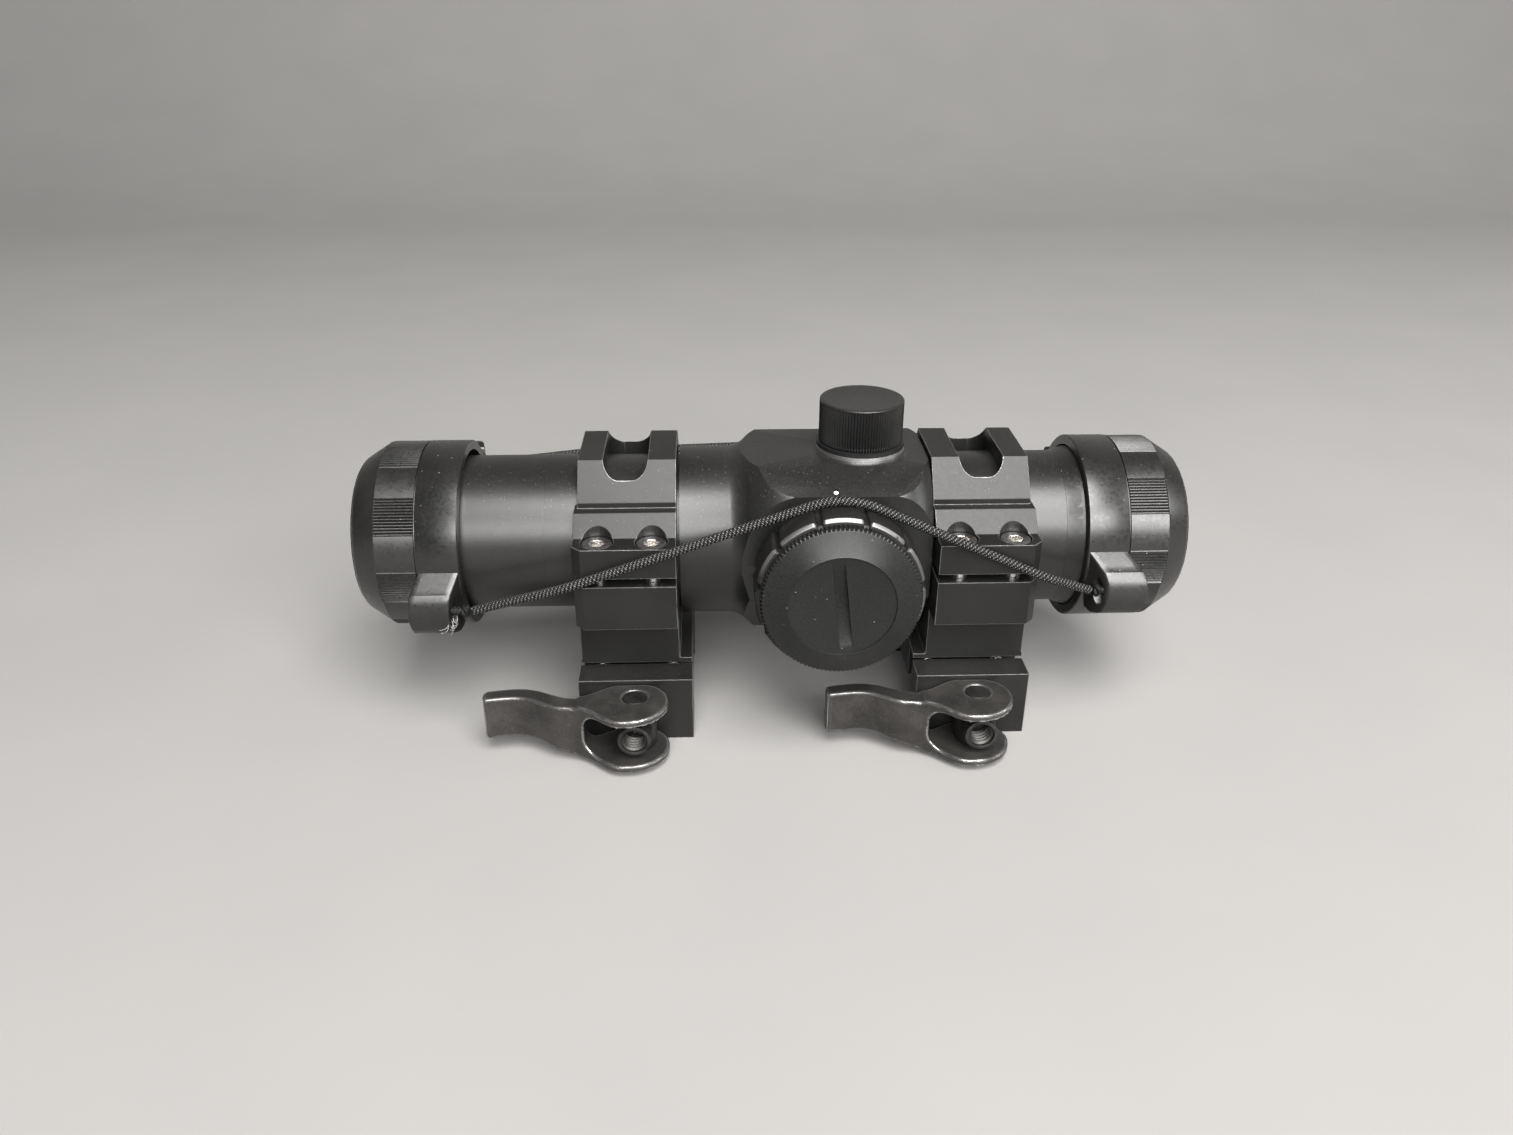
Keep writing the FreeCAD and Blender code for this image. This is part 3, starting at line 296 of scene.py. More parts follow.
def dial_finish():
    """Anodised knob whose front rim has worn to bare metal; the bright metal is painted only on its upper
    lobes, the side the light falls on, so it is part wear and part painted highlight.
    """
    s = Surface("dial_finish")
    fine = s.noise(4.0, 3, 0.6)
    split = s.node("ShaderNodeSeparateXYZ")
    s.link(s.place, split.inputs["Vector"])
    front = -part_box("brightness_dial")[0].y
    ahead = s.math("MULTIPLY", split.outputs["Y"], -1.0)
    rim = s.span(ahead, front - 0.85 * MM, front - 0.70 * MM)
    across = s.math("SUBTRACT", split.outputs["X"], DIAL_AXIS.x)
    above = s.math("SUBTRACT", split.outputs["Z"], DIAL_AXIS.z)
    across_squared = s.math("MULTIPLY", across, across)
    above_squared = s.math("MULTIPLY", above, above)
    reach = s.math("SQRT", s.math("ADD", across_squared, above_squared))
    rim_inside = 14.72
    outside = s.span(reach, rim_inside * MM, (rim_inside + 0.08) * MM)
    # painted highlight: the worn rim is kept to the upper right, where the light falls, and fades out
    # towards the lower left
    upper_right = s.math("ADD", above, s.math("MULTIPLY", across, 0.7))
    lit_side = s.span(upper_right, -6.0 * MM, 5.0 * MM)
    patchy = s.span(s.noise(0.25, 4, 0.6), 0.30, 0.42)
    wear_and_painted_glint = s.math("MULTIPLY", s.math("MULTIPLY", rim, outside), patchy)
    wear_and_painted_glint = s.math("MULTIPLY", wear_and_painted_glint, lit_side)
    colour = s.mix(s.span(fine, 0.45, 0.8), grey(0.006, warm=0.04), grey(0.018, warm=0.03))
    colour = s.mix(wear_and_painted_glint, colour, grey(0.16, warm=0.01))
    return s.set(Base_Color=colour, Metallic=s.blend(wear_and_painted_glint, 0.0, 1.0), Roughness=s.blend(wear_and_painted_glint, 0.40, 0.45),
                 Specular_IOR_Level=0.3, Normal=s.bump(fine, 0.010, 0.7))


def braid(name, tracer_level):
    """Braided cover: the crossing strands are in the mesh; one strand family carries grey tracers."""
    s = Surface(name)
    weave = s.node("ShaderNodeAttribute", attribute_name="strand").outputs["Fac"]
    tracer = s.node("ShaderNodeAttribute", attribute_name="tracer").outputs["Fac"]
    fuzz = s.noise(7.0, 3)
    colour = s.mix(s.span(weave, 0.1, 0.9), grey(0.001), grey(0.006))
    lit = s.math("MULTIPLY", s.span(tracer, 0.74, 0.95), s.span(fuzz, 0.30, 0.55, 0.2, 1.0))
    colour = s.mix(lit, colour, grey(tracer_level, warm=0.02))
    return s.set(Base_Color=colour, Roughness=s.span(fuzz, 0.3, 0.7, 0.55, 0.70),
                 Specular_IOR_Level=0.12, Normal=s.bump(fuzz, 0.006, 0.6))


def clear_window(name, tint, through, rough=0.04):
    """Clear plastic or glass with a few smears and dust specks."""
    s = Surface(name)
    smear = s.span(s.noise(0.12, 4), 0.45, 0.75, rough, rough + 0.12)
    colour = s.mix(s.specks(0.8, 0.06), tint, grey(0.5))
    s.shader.inputs["Transmission Weight"].default_value = through
    s.shader.inputs["IOR"].default_value = 1.49
    return s.set(Base_Color=colour, Roughness=smear)


def rubber():
    s = Surface("seal_rubber")
    fine = s.noise(2.5, 3)
    colour = s.mix(s.span(fine, 0.3, 0.7), grey(0.010), grey(0.024))
    return s.set(Base_Color=colour, Roughness=s.span(fine, 0.3, 0.7, 0.6, 0.8),
                 Normal=s.bump(fine, 0.01, 0.5))


def painted(name, colour, rough):
    """A coat of paint, mask or lacquer with small flaws."""
    s = Surface(name)
    fine = s.noise(3.0, 3)
    darker = tuple(0.7 * c for c in colour[:3]) + (1.0,)
    return s.set(Base_Color=s.mix(s.span(fine, 0.35, 0.75), colour, darker),
                 Roughness=s.span(fine, 0.3, 0.7, rough - 0.08, rough + 0.08),
                 Normal=s.bump(fine, 0.006, 0.6))


MATERIALS = {
    "black_anodised": anodised("black_anodised", 0.004, 0.008, 0.36, 0.0, 0.05, 0.014, 0.48),
    "ring_anodised": anodised("ring_anodised", 0.004, 0.008, 0.38, 1.00, 0.02, 0.005, 0.27),
    "jaw_anodised": anodised("jaw_anodised", 0.005, 0.010, 0.36, 1.15, 0.03, 0.005, 0.30),
    "phosphated_steel": cast_steel(),
    "bare_steel": bare_steel("bare_steel", 0.30, 0.26),
    "spring_steel": bare_steel("spring_steel", 0.42, 0.34),
    "silver_ring": bushing_finish(),
    "nut_steel": bare_steel("nut_steel", 0.07, 0.50),
    "screw_steel": bare_steel("screw_steel", 0.75, 0.24, 0.03, 0.7),
    "brass_part": painted("brass_part", (0.60, 0.42, 0.16, 1.0), 0.32),
    "cover_plastic": cover_plastic(),
    "smoked_window": clear_window("smoked_window", grey(0.045), 0.85),
    "optic_glass": clear_window("optic_glass", (0.80, 0.92, 0.88, 1.0), 0.97, 0.01),
    "ruby_glass": clear_window("ruby_glass", (0.75, 0.20, 0.28, 1.0), 0.9, 0.01),
    "braided_cord": braid("braided_cord", 0.24),
    "knot_cord": braid("knot_cord", 0.07),
    "seal_rubber": rubber(),
    "knob_plastic": knob_plastic(),
    "board_green": painted("board_green", (0.02, 0.16, 0.06, 1.0), 0.35),
    "led_body": painted("led_body", (0.65, 0.03, 0.03, 1.0), 0.15),
    "index_paint": painted("index_paint", (0.82, 0.82, 0.80, 1.0), 0.5),
    "dial_finish": dial_finish(),
    "frayed_fibre": painted("frayed_fibre", (0.34, 0.34, 0.33, 1.0), 0.7),
}
MATERIALS["brass_part"].node_tree.nodes["Principled BSDF"].inputs["Metallic"].default_value = 1.0


# ---------------------------------------------------------------- mesh helpers
def finish_piece(obj, body, slot, replaces=(), angle=32, look=None):
    """Smooth the mesh between its sharp edges, paint it and put it on its body."""
    mesh = obj.data
    for face in mesh.polygons:
        face.use_smooth = True
    mesh.set_sharp_from_angle(angle=math.radians(angle))
    mesh.materials.clear()
    mesh.materials.append(MATERIALS[look or slot])
    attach(obj, body)
    if replaces:
        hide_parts(*replaces)
    return obj


def add_object(name, mesh):
    obj = bpy.data.objects.new(name, mesh)
    bpy.context.scene.collection.objects.link(obj)
    return obj


def from_bmesh(name, bm):
    bmesh.ops.remove_doubles(bm, verts=bm.verts, dist=1e-7)
    bmesh.ops.recalc_face_normals(bm, faces=bm.faces)
    if bm.calc_volume(signed=True) < 0:
        bmesh.ops.reverse_faces(bm, faces=bm.faces)
    mesh = bpy.data.meshes.new(name)
    bm.to_mesh(mesh)
    bm.free()
    return add_object(name, mesh)


def add_grid(bm, rows, loop_rows, loop_columns):
    """Skin rows of points with quads. Either direction may close on itself."""
    verts = [[bm.verts.new(p) for p in row] for row in rows]
    n, m = len(verts), len(verts[0])
    for i in range(n if loop_rows else n - 1):
        for j in range(m if loop_columns else m - 1):
            a, b = (i + 1) % n, (j + 1) % m
            bm.faces.new((verts[i][j], verts[a][j], verts[a][b], verts[i][b]))
    return verts


def turned_rows(profile, steps, place):
    """Rows of points round an axis, from profile(angle)'s (along, radius) pairs."""
    rows = []
    for i in range(steps):
        angle = TURN * i / steps
        rows.append([place(along, radius, angle) for along, radius in profile(angle)])
    return rows


def along_x(origin, way=1, turned=0.0):
    """Maps (along, radius, angle) to a point. Angle 0 is the -Y side and grows towards +Z."""
    def place(along, radius, angle):
        a = angle + turned
        return origin + Vector((way * along, -radius * math.cos(a), radius * math.sin(a))) * MM
    return place


def subtract(obj, cutter):
    """Take cutter's solid out of obj's mesh for good."""
    change = obj.modifiers.new("cut", "BOOLEAN")
    change.object = cutter
    change.operation = "DIFFERENCE"
    change.solver = "MANIFOLD"
    bake_modifiers(obj)
    bpy.data.objects.remove(cutter)


def bake_modifiers(obj):
    shown = bpy.context.evaluated_depsgraph_get()
    mesh = bpy.data.meshes.new_from_object(obj.evaluated_get(shown))
    obj.modifiers.clear()
    obj.data = mesh


# ---------------------------------------------------------------- lens covers
COVER_R = 18.0
BAND_R = 17.85
SKIRT = 7.75
BAND_END = 15.2
COVER_END = 20.5
RIB_GROUPS = 8
RIBS = 12
RIB_SECTOR = math.radians(22.5)
RIB_DEPTH = 0.36
CONE = math.radians(33)
CONE_END = 19.4
CORNER_R = 2.2
HOLE_OUT = 20.4     # the lug's cord hole, out from the tube axis and below it
HOLE_DROP = 6.6
COVER_TURN = {"front": 0.0, "rear": math.radians(8.0)}
LUG_ROOT = 17.9
LUG_REACH = 4.3
LUG_LEAN = {"front": 1.9, "rear": 3.2}          # how far the lug's tip leans to the closed end
KNOT_IN = {"front": 0.0, "rear": 2.2 * MM}      # how far the knot sits into its lug


def rib_drop(angle):
    """Depth of a rib group's cut at this angle from the lug; None on the plain stretches."""
    sector = TURN / RIB_GROUPS
    within = (-angle) % sector
    if within > RIB_SECTOR:
        return None
    phase = within / RIB_SECTOR * RIBS
    return RIB_DEPTH * math.sin(math.pi * (phase % 1.0)) ** 0.8


def cover_profile(angle):
    """The cover's section at an angle: mouth, skirt, ribs, rounded end and bore."""
    drop = rib_drop(angle)
    rim = [(0.0, 16.2), (0.0, 17.8), (0.2, COVER_R), (SKIRT - 0.15, COVER_R), (SKIRT, COVER_R - 0.1),
           (SKIRT + 0.05, BAND_R - 0.3), (SKIRT + 0.25, BAND_R - 0.3), (SKIRT + 0.3, BAND_R)]
    crest = BAND_R + (0.08 if drop is not None else 0.0)
    cut = drop or 0.0
    band = [(SKIRT + 0.35, crest - cut), (BAND_END - 0.02, crest - cut), (BAND_END + 0.08, BAND_R - 0.12)]
    cone_drop = (CONE_END - BAND_END) * math.tan(CONE)
    bevel = [(BAND_END + 0.6, BAND_R - 0.6 * math.tan(CONE))]
    for i in range(9):
        a = CONE + (math.radians(88) - CONE) * i / 8
        along = CONE_END + CORNER_R * (math.sin(a) - math.sin(CONE))
        bevel.append((along, BAND_R - cone_drop - CORNER_R * (math.cos(CONE) - math.cos(a))))
    face = [(bevel[-1][0], 13.95), (COVER_END - 0.25, 13.7), (18.9, 13.7), (18.9, 12.4), (15.6, 12.4),
            (15.6, 16.2)]
    return rim + band + bevel + face


def lug_sections():
    """Outline of the cord lug seen along the tube: (out from the axis, up), walked round."""
    flank = [(17.2, 0.0), (18.0, 0.0), (19.0, -1.0), (20.0, -2.0), (20.9, -2.95)]
    nose = []
    for i in range(9):
        a = math.radians(36 - 72 * i / 8)
        nose.append((16.5 + 5.6 * math.cos(a), -6.95 + 6.7 * math.sin(a)))
    back = [(20.2, -11.35), (18.9, -11.6), (17.4, -10.9), (16.7, -8.0), (16.7, -4.0)]
    return flank + nose + back


def build_lug(bm, place_point, lean_by):
    """Lug whose sections slide towards the cover's closed end the farther out they are."""
    outline = lug_sections()
    slices = 7
    rows = []
    for i in range(slices):
        share = i / (slices - 1)
        row = []
        for out, up in outline:
            lean = max(0.0, (out - LUG_ROOT) / LUG_REACH)
            row.append(place_point(0.12 + share * (SKIRT - 0.2) + lean_by * lean, out, up))
        rows.append(row)
    verts = add_grid(bm, rows, False, True)
    bm.faces.new(verts[0])
    bm.faces.new(verts[-1])


def build_cover(end):
    """Ribbed cap with a cord lug on each side; a hole and a hollow in each lug take the knot."""
    name = end + "_cover"
    way = -1 if end == "front" else 1
    low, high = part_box(name)
    mouth = Vector((high.x if way < 0 else low.x, TUBE_AXIS.y, TUBE_AXIS.z))
    place = along_x(mouth, way, COVER_TURN[end])
    bm = bmesh.new()
    add_grid(bm, turned_rows(cover_profile, 960, place), True, True)
    shell = from_bmesh(name + "_shell", bm)
    for side in (0.0, math.pi):
        def place_point(along, out, up, side=side):
            return place(along, math.hypot(out, up), math.atan2(up, out) + side)
        bm = bmesh.new()
        build_lug(bm, place_point, LUG_LEAN[end])
        lug = from_bmesh("lug", bm)
        rounding = lug.modifiers.new("round", "BEVEL")
        rounding.width = 0.35 * MM
        rounding.segments = 3
        rounding.angle_limit = math.radians(50)
        bake_modifiers(lug)
        joined = shell.modifiers.new("join", "BOOLEAN")
        joined.object = lug
        joined.operation = "UNION"
        joined.solver = "MANIFOLD"
        bake_modifiers(shell)
        bpy.data.objects.remove(lug)
    bm = bmesh.new()
    for side in (0.0, math.pi):
        centre = place(4.0, math.hypot(HOLE_OUT, HOLE_DROP), math.atan2(-HOLE_DROP, HOLE_OUT) + side)
        matrix = Matrix.Translation(centre) @ Matrix.Rotation(math.pi / 2, 4, "Y")
        hole_r = 0.95 * MM
        bmesh.ops.create_cone(bm, cap_ends=True, segments=24, radius1=hole_r, radius2=hole_r,
                              depth=16 * MM, matrix=matrix)
    subtract(shell, from_bmesh("cord_holes", bm))
    bm = bmesh.new()
    for side in (0.0, math.pi):
        rows = []
        for depth, size in ((-3.0, 1.0), (3.6, 1.0), (4.6, 0.7)):
            row = []
            for i in range(16):
                a = TURN * i / 16
                out = HOLE_OUT - 0.35 + 0.95 * size * math.cos(a) - 0.3 * math.sin(a)
                up = -HOLE_DROP - 0.3 + 2.7 * size * math.sin(a)
                row.append(place(depth, math.hypot(out, up), math.atan2(up, out) + side))
            rows.append(row)
        verts = add_grid(bm, rows, False, True)
        bm.faces.new(verts[0])
        bm.faces.new(verts[-1])
    subtract(shell, from_bmesh("lug_hollows", bm))
    return finish_piece(shell, end + "_lens_cover", "cover_plastic", [name], 35)


# ---------------------------------------------------------------- cords
CORD_R = 0.85 * MM
STRAND_PITCH = 0.76 * MM
STRANDS = 8


def cord_path(points, step):
    """Even points along a run of straight lines and curves."""
    out = [points[0]]
    for a, b in zip(points, points[1:]):
        count = max(1, round((b - a).length / step))
        out += [a.lerp(b, i / count) for i in range(1, count + 1)]
    return out


def braid_point(turn, distance):
    """(height, tracer) of a two-way braid at an angle and a distance along the cord."""
    u = turn / TURN * STRANDS
    v = distance / STRAND_PITCH * 2
    right = math.sin(math.pi * (u + v))
    left = math.sin(math.pi * (u - v))
    over = math.sin(math.pi * u) * math.sin(math.pi * v)
    height = (abs(right) if over > 0 else abs(left)) ** 0.7
    tracer = height if over > 0 else 0.0
    return height, tracer


def build_cord(name, points):
    """Braided cord: a swept skin whose strands stand out, with the strand data kept for its material."""
    path = cord_path(points, 0.075 * MM)
    sides = 40
    rows, strands, tracers = [], [], []
    distance = 0.0
    for i, point in enumerate(path):
        if i:
            distance += (point - path[i - 1]).length
        ahead = (path[min(i + 1, len(path) - 1)] - path[max(i - 1, 0)]).normalized()
        side = ahead.cross(Vector((0, 1, 0))).normalized()
        up = side.cross(ahead)
        row = []
        for j in range(sides):
            turn = TURN * j / sides
            height, tracer = braid_point(turn, distance)
            radius = CORD_R * (0.88 + 0.12 * height)
            row.append(point + (side * math.cos(turn) + up * math.sin(turn)) * radius)
            strands.append(height)
            tracers.append(tracer)
        rows.append(row)
    bm = bmesh.new()
    strand_layer = bm.verts.layers.float.new("strand")
    tracer_layer = bm.verts.layers.float.new("tracer")
    verts = add_grid(bm, rows, False, True)
    flat = [v for row in verts for v in row]
    for vert, height, tracer in zip(flat, strands, tracers):
        vert[strand_layer] = height
        vert[tracer_layer] = tracer
    bm.faces.new(verts[0])
    bm.faces.new(list(reversed(verts[-1])))
    bmesh.ops.recalc_face_normals(bm, faces=bm.faces)
    mesh = bpy.data.meshes.new(name)
    bm.to_mesh(mesh)
    bm.free()
    return add_object(name, mesh)


def hole_centre(x, end, side):
    """Point on the middle line of a lug's cord hole."""
    turned = COVER_TURN[end]
    y = side * (HOLE_OUT * math.cos(turned) + HOLE_DROP * math.sin(turned)) * MM
    z = TUBE_AXIS.z - side * (HOLE_OUT * math.sin(turned) - HOLE_DROP * math.cos(turned)) * MM
    return Vector((x, y, z))


def cord_line(end, side):
    """Middle line of a half cord, from over the knob that holds it up to its knot."""
    knob = "brightness_dial" if side < 0 else "windage_cap"
    way = -1 if end == "front" else 1
    low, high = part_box(knob)
    centre_x = DIAL_AXIS.x if side < 0 else (low.x + high.x) / 2
    knob_r = 15.3 * MM if side < 0 else (high.z - low.z) / 2
    over_r = knob_r + CORD_R + 0.08 * MM
    out_y = side * 24.05 * MM
    node = ("near_cord_" if side < 0 else "far_cord_") + end
    cord_low, cord_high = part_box(node)
    knot_x = (cord_low.x if way < 0 else cord_high.x) + way * KNOT_IN[end]
    knot = hole_centre(knot_x - way * 0.35 * MM, end, side)
    dx = way * (knot.x - centre_x)
    dz = TUBE_AXIS.z - knot.z
    climb = math.atan2(dz, dx) + math.asin(over_r / math.hypot(dx, dz))
    arc = []
    for i in range(25):
        a = climb * i / 24
        x = centre_x + way * over_r * math.sin(a)
        arc.append(Vector((x, out_y, TUBE_AXIS.z + over_r * math.cos(a))))
    ring_face = 43.5 * MM
    rise = abs(way * ring_face - knot.x) * math.tan(climb)
    bend = Vector((way * ring_face, out_y, knot.z + rise))
    into = (bend - arc[-1]).normalized()
    away = (knot - bend).normalized()
    curve = []
    for i in range(9):
        t = i / 8
        a, b = bend - into * 2.0 * MM, bend + away * 2.0 * MM
        curve.append(a * (1 - t) ** 2 + bend * 2 * t * (1 - t) + b * t * t)
    return arc + curve + [knot]


def build_cords():
    for end in ("front", "rear"):
        for side, word in ((-1, "near"), (1, "far")):
            node = word + "_cord_" + end
            points = cord_line(end, side)
            piece = build_cord(node + "_braid", points)
            finish_mesh(piece, "braided_cord")
            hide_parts(node)
            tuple(points[0])
            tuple(points[-1])
            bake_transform(piece)


def finish_mesh(obj, slot):
    for face in obj.data.polygons:
        face.use_smooth = True
    obj.data.materials.append(MATERIALS[slot])


def build_knots(end):
    """A small overhand knot against each lug, with a short tail of cord running on from it."""
    node = end + "_cord_knots"
    way = -1 if end == "front" else 1
    low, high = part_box(node)
    inset = 1.45 * MM
    knot_x = (high.x - inset if way < 0 else low.x + inset) + way * KNOT_IN[end]
    for side, word in ((-1, "near"), (1, "far")):
        centre = hole_centre(knot_x, end, side)
        loop = []
        for i in range(49):
            t = TURN * i / 48
            p = Vector((0.45 * math.sin(3 * t), (1.0 + 0.42 * math.cos(3 * t)) * math.cos(2 * t),
                        (1.0 + 0.42 * math.cos(3 * t)) * math.sin(2 * t)))
            loop.append(centre + Vector((p.x * 0.9, p.y * 0.62, p.z * 0.62)) * MM)
        tail = [centre, centre + Vector((way * 7.0 * MM, 0, 0))]
        piece = join_cords(node + "_" + word, [(loop, 0.5), (tail, 0.92)])
        finish_mesh(piece, "knot_cord")
        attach(piece, end + "_lens_cover")
        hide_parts(node)


def join_cords(name, runs):
    bm = bmesh.new()
    strand_layer = bm.verts.layers.float.new("strand")
    tracer_layer = bm.verts.layers.float.new("tracer")
    for points, size in runs:
        path = cord_path(points, 0.15 * MM)
        closed = (points[0] - points[-1]).length < 1e-7
        if closed:
            path = path[:-1]
        rows, data = [], []
        distance = 0.0
        for i, point in enumerate(path):
            distance += 0.15 * MM
            after = path[(i + 1) % len(path)] if closed else path[min(i + 1, len(path) - 1)]
            before = path[i - 1] if closed or i else path[0]
            ahead = (after - before).normalized()
            side = ahead.cross(Vector((0.3, 1, 0.2))).normalized()
            up = side.cross(ahead)
            row = []
            for j in range(20):
                turn = TURN * j / 20
                height, tracer = braid_point(turn, distance)
                radius = CORD_R * size * (0.88 + 0.12 * height)
                row.append(point + (side * math.cos(turn) + up * math.sin(turn)) * radius)
                data.append((height, tracer))
            rows.append(row)
        verts = add_grid(bm, rows, closed, True)
        for vert, (height, tracer) in zip([v for row in verts for v in row], data):
            vert[strand_layer] = height
            vert[tracer_layer] = tracer
        if not closed:
            bm.faces.new(verts[0])
            bm.faces.new(list(reversed(verts[-1])))
    bmesh.ops.recalc_face_normals(bm, faces=bm.faces)
    mesh = bpy.data.meshes.new(name)
    bm.to_mesh(mesh)
    bm.free()
    return add_object(name, mesh)


# ---------------------------------------------------------------- turret caps, dial and battery cap
def along_axis(origin, axis):
    """Maps (along, radius, angle) to a point round any axis that isn't X."""
    axis = Vector(axis)
    first = Vector((1, 0, 0))
    second = axis.cross(first)

    def place(along, radius, angle):
        spoke = first * (radius * math.cos(angle)) + second * (radius * math.sin(angle))
        return origin + (axis * along + spoke) * MM
    return place


def turret_cap(node, body, axis):
    """Cap with a straight knurl between two plain lips, and a slightly dished top."""
    low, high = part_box(node)
    centre = (low + high) / 2
    axis = Vector(axis)
    depth = abs((high - low).dot(axis)) / MM
    base = centre - axis * depth / 2 * MM
    radius = (high.x - low.x) / 2 / MM
    teeth = 92

    def profile(angle):
        cut = 0.30 * (0.5 - 0.5 * math.cos(teeth * angle)) ** 0.6
        return [(0.0, radius - 0.95), (0.0, radius - 0.35), (0.12, radius - 0.1 - cut),
                (0.25, radius - cut), (depth - 0.42, radius - cut), (depth - 0.30, radius - 0.02),
                (depth - 0.22, radius - 0.02), (depth - 0.06, radius - 0.16), (depth, radius - 0.35),
                (depth, radius - 0.8), (depth - 0.06, radius - 1.3), (depth - 0.06, 0.02),
                (depth - 1.8, 0.02), (depth - 1.8, radius - 1.09), (0.95, radius - 1.09),
                (0.95, radius - 0.95)]

    bm = bmesh.new()
    add_grid(bm, turned_rows(profile, teeth * 8, along_axis(base, axis)), True, True)
    return finish_piece(from_bmesh(node + "_knurled", bm), body, "black_anodised", [node], 38)


def dial():
    """Lobed knob: eleven round-cornered grips parted by narrow flutes, with a bright front rim."""
    node = "brightness_dial"
    front, back = -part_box(node)[0].y / MM, 21.3
    place = along_axis(Vector((DIAL_AXIS.x, 0, TUBE_AXIS.z)), (0, -1, 0))
    lobes, radius = 11, 15.28
    flute_half, corner = 0.5, 0.8

    def edge(angle):
        phase = ((angle + math.pi / 2) / TURN * lobes + 0.5) % 1.0
        away = abs(phase - 0.5) * TURN / lobes * radius
        if away < flute_half:
            return radius - 0.9
        inside = max(0.0, flute_half + corner - away)
        return radius - corner + math.sqrt(max(corner ** 2 - inside ** 2, 0.0)) * 0.98

    def profile(angle):
        rim = edge(angle)
        return [(back, 11.0), (back, rim - 0.4), (back + 0.4, rim), (front - 0.62, rim),
                (front - 0.10, rim - 0.42), (front, rim - 0.62), (front, 14.0), (front - 0.25, 13.8),
                (front - 0.25, 11.25), (27.4, 11.25), (27.4, 10.3), (24.9, 10.3), (24.9, 4.7),
                (24.55, 4.7), (24.55, 4.0), (back, 4.0)]

    bm = bmesh.new()
    add_grid(bm, turned_rows(profile, lobes * 120, place), True, True)
    knob = from_bmesh("dial_knob", bm)
    return finish_piece(knob, "dial", "black_anodised", [node], 35, "dial_finish")


def battery_cap():
    """Cap with a fine-toothed rim, a coned annulus, a sunk flat middle and a coin slot."""
    node = "battery_cap"
    low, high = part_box(node)
    front = -low.y / MM
    radius = (high.x - low.x) / 2 / MM
    rim = front - 1.7
    cap_centre = Vector((DIAL_AXIS.x, 0, TUBE_AXIS.z))
    place = along_axis(cap_centre, (0, -1, 0))
    teeth = 112

    def profile(angle):
        cut = 0.36 * (0.5 - 0.5 * math.cos(teeth * angle)) ** 0.6
        return [(28.3, 0.02), (28.3, 11.2), (29.65, 11.2), (29.65, radius - 0.5), (29.8, radius - cut),
                (rim - 0.25, radius - cut), (rim, radius - 0.42), (rim + 0.08, radius - 0.62),
                (front - 0.06, 9.82), (front, 9.72), (front - 0.03, 9.62), (front - 0.3, 9.55),
                (front - 0.33, 9.4), (front - 0.33, 0.02)]

    bm = bmesh.new()
    add_grid(bm, turned_rows(profile, teeth * 8, place), True, True)
    cap = from_bmesh("battery_cap_toothed", bm)
    length, width, deep = 16.9, 2.3, 1.6
    cutter_r = ((length / 2) ** 2 + deep ** 2) / (2 * deep)
    tilt = math.radians(6.5)
    bm = bmesh.new()
    rows = []
    for across in (-width / 2, width / 2):
        row = []
        for i in range(33):
            a = math.asin(length / 2 / cutter_r) * (1 - i / 16)
            sunk = deep - cutter_r * (1 - math.cos(a))
            row.append((across, cutter_r * math.sin(a), front - 0.33 - sunk))
        row += [(across, -length / 2, front + 2), (across, length / 2, front + 2)]
        points = []
        for x, z, y in row:
            turned_x = x * math.cos(tilt) - z * math.sin(tilt)
            turned_z = x * math.sin(tilt) + z * math.cos(tilt)
            points.append(cap_centre + Vector((turned_x, -y, turned_z)) * MM)
        rows.append(points)
    verts = add_grid(bm, rows, False, True)
    bm.faces.new(verts[0])
    bm.faces.new(list(reversed(verts[1])))
    subtract(cap, from_bmesh("slot", bm))
    return finish_piece(cap, "battery_lid", "knob_plastic", [node], 25)


# ---------------------------------------------------------------- small visible details
def scatter(*spans):
    """Vector with each part drawn from its own (low, high) span."""
    return Vector([random.uniform(low, high) for low, high in spans])


def frayed_threads():
    """Loose curled fibres where the cord was cut, at the front cover's near lug."""
    low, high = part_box("front_cord_knots")
    start = Vector((high.x - 4.1 * MM, low.y + 0.5 * MM, TUBE_AXIS.z - 8.4 * MM))
    count = 22
    bm = bmesh.new()
    for _ in range(9):
        point = start + scatter((-0.5, 0.4), (-0.4, 0.3), (-0.3, 0.6)) * MM
        heading = scatter((-0.25, 0.35), (-0.5, 0.1), (-1.0, -0.7))
        curl = scatter((-1, 1), (-1, 1), (-1, 1)).normalized()
        points = []
        for _ in range(count):
            points.append(point.copy())
            point = point + heading.normalized() * 0.14 * MM
            heading = Matrix.Rotation(random.uniform(0.10, 0.26), 3, curl) @ heading.normalized()
        rows = []
        for i, p in enumerate(points):
            ahead = (points[min(i + 1, count - 1)] - points[max(i - 1, 0)]).normalized()
            side = ahead.orthogonal().normalized()
            up = side.cross(ahead)
            size = 0.05 * MM * (1 - 0.5 * i / (count - 1))
            angles = [TURN * j / 6 for j in range(6)]
            rows.append([p + (side * math.cos(a) + up * math.sin(a)) * size for a in angles])
        verts = add_grid(bm, rows, False, True)
        bm.faces.new(verts[0])
        bm.faces.new(list(reversed(verts[-1])))
    return finish_piece(from_bmesh("frayed_threads", bm), "front_lens_cover", "braided_cord", (), 60,
                        "frayed_fibre")


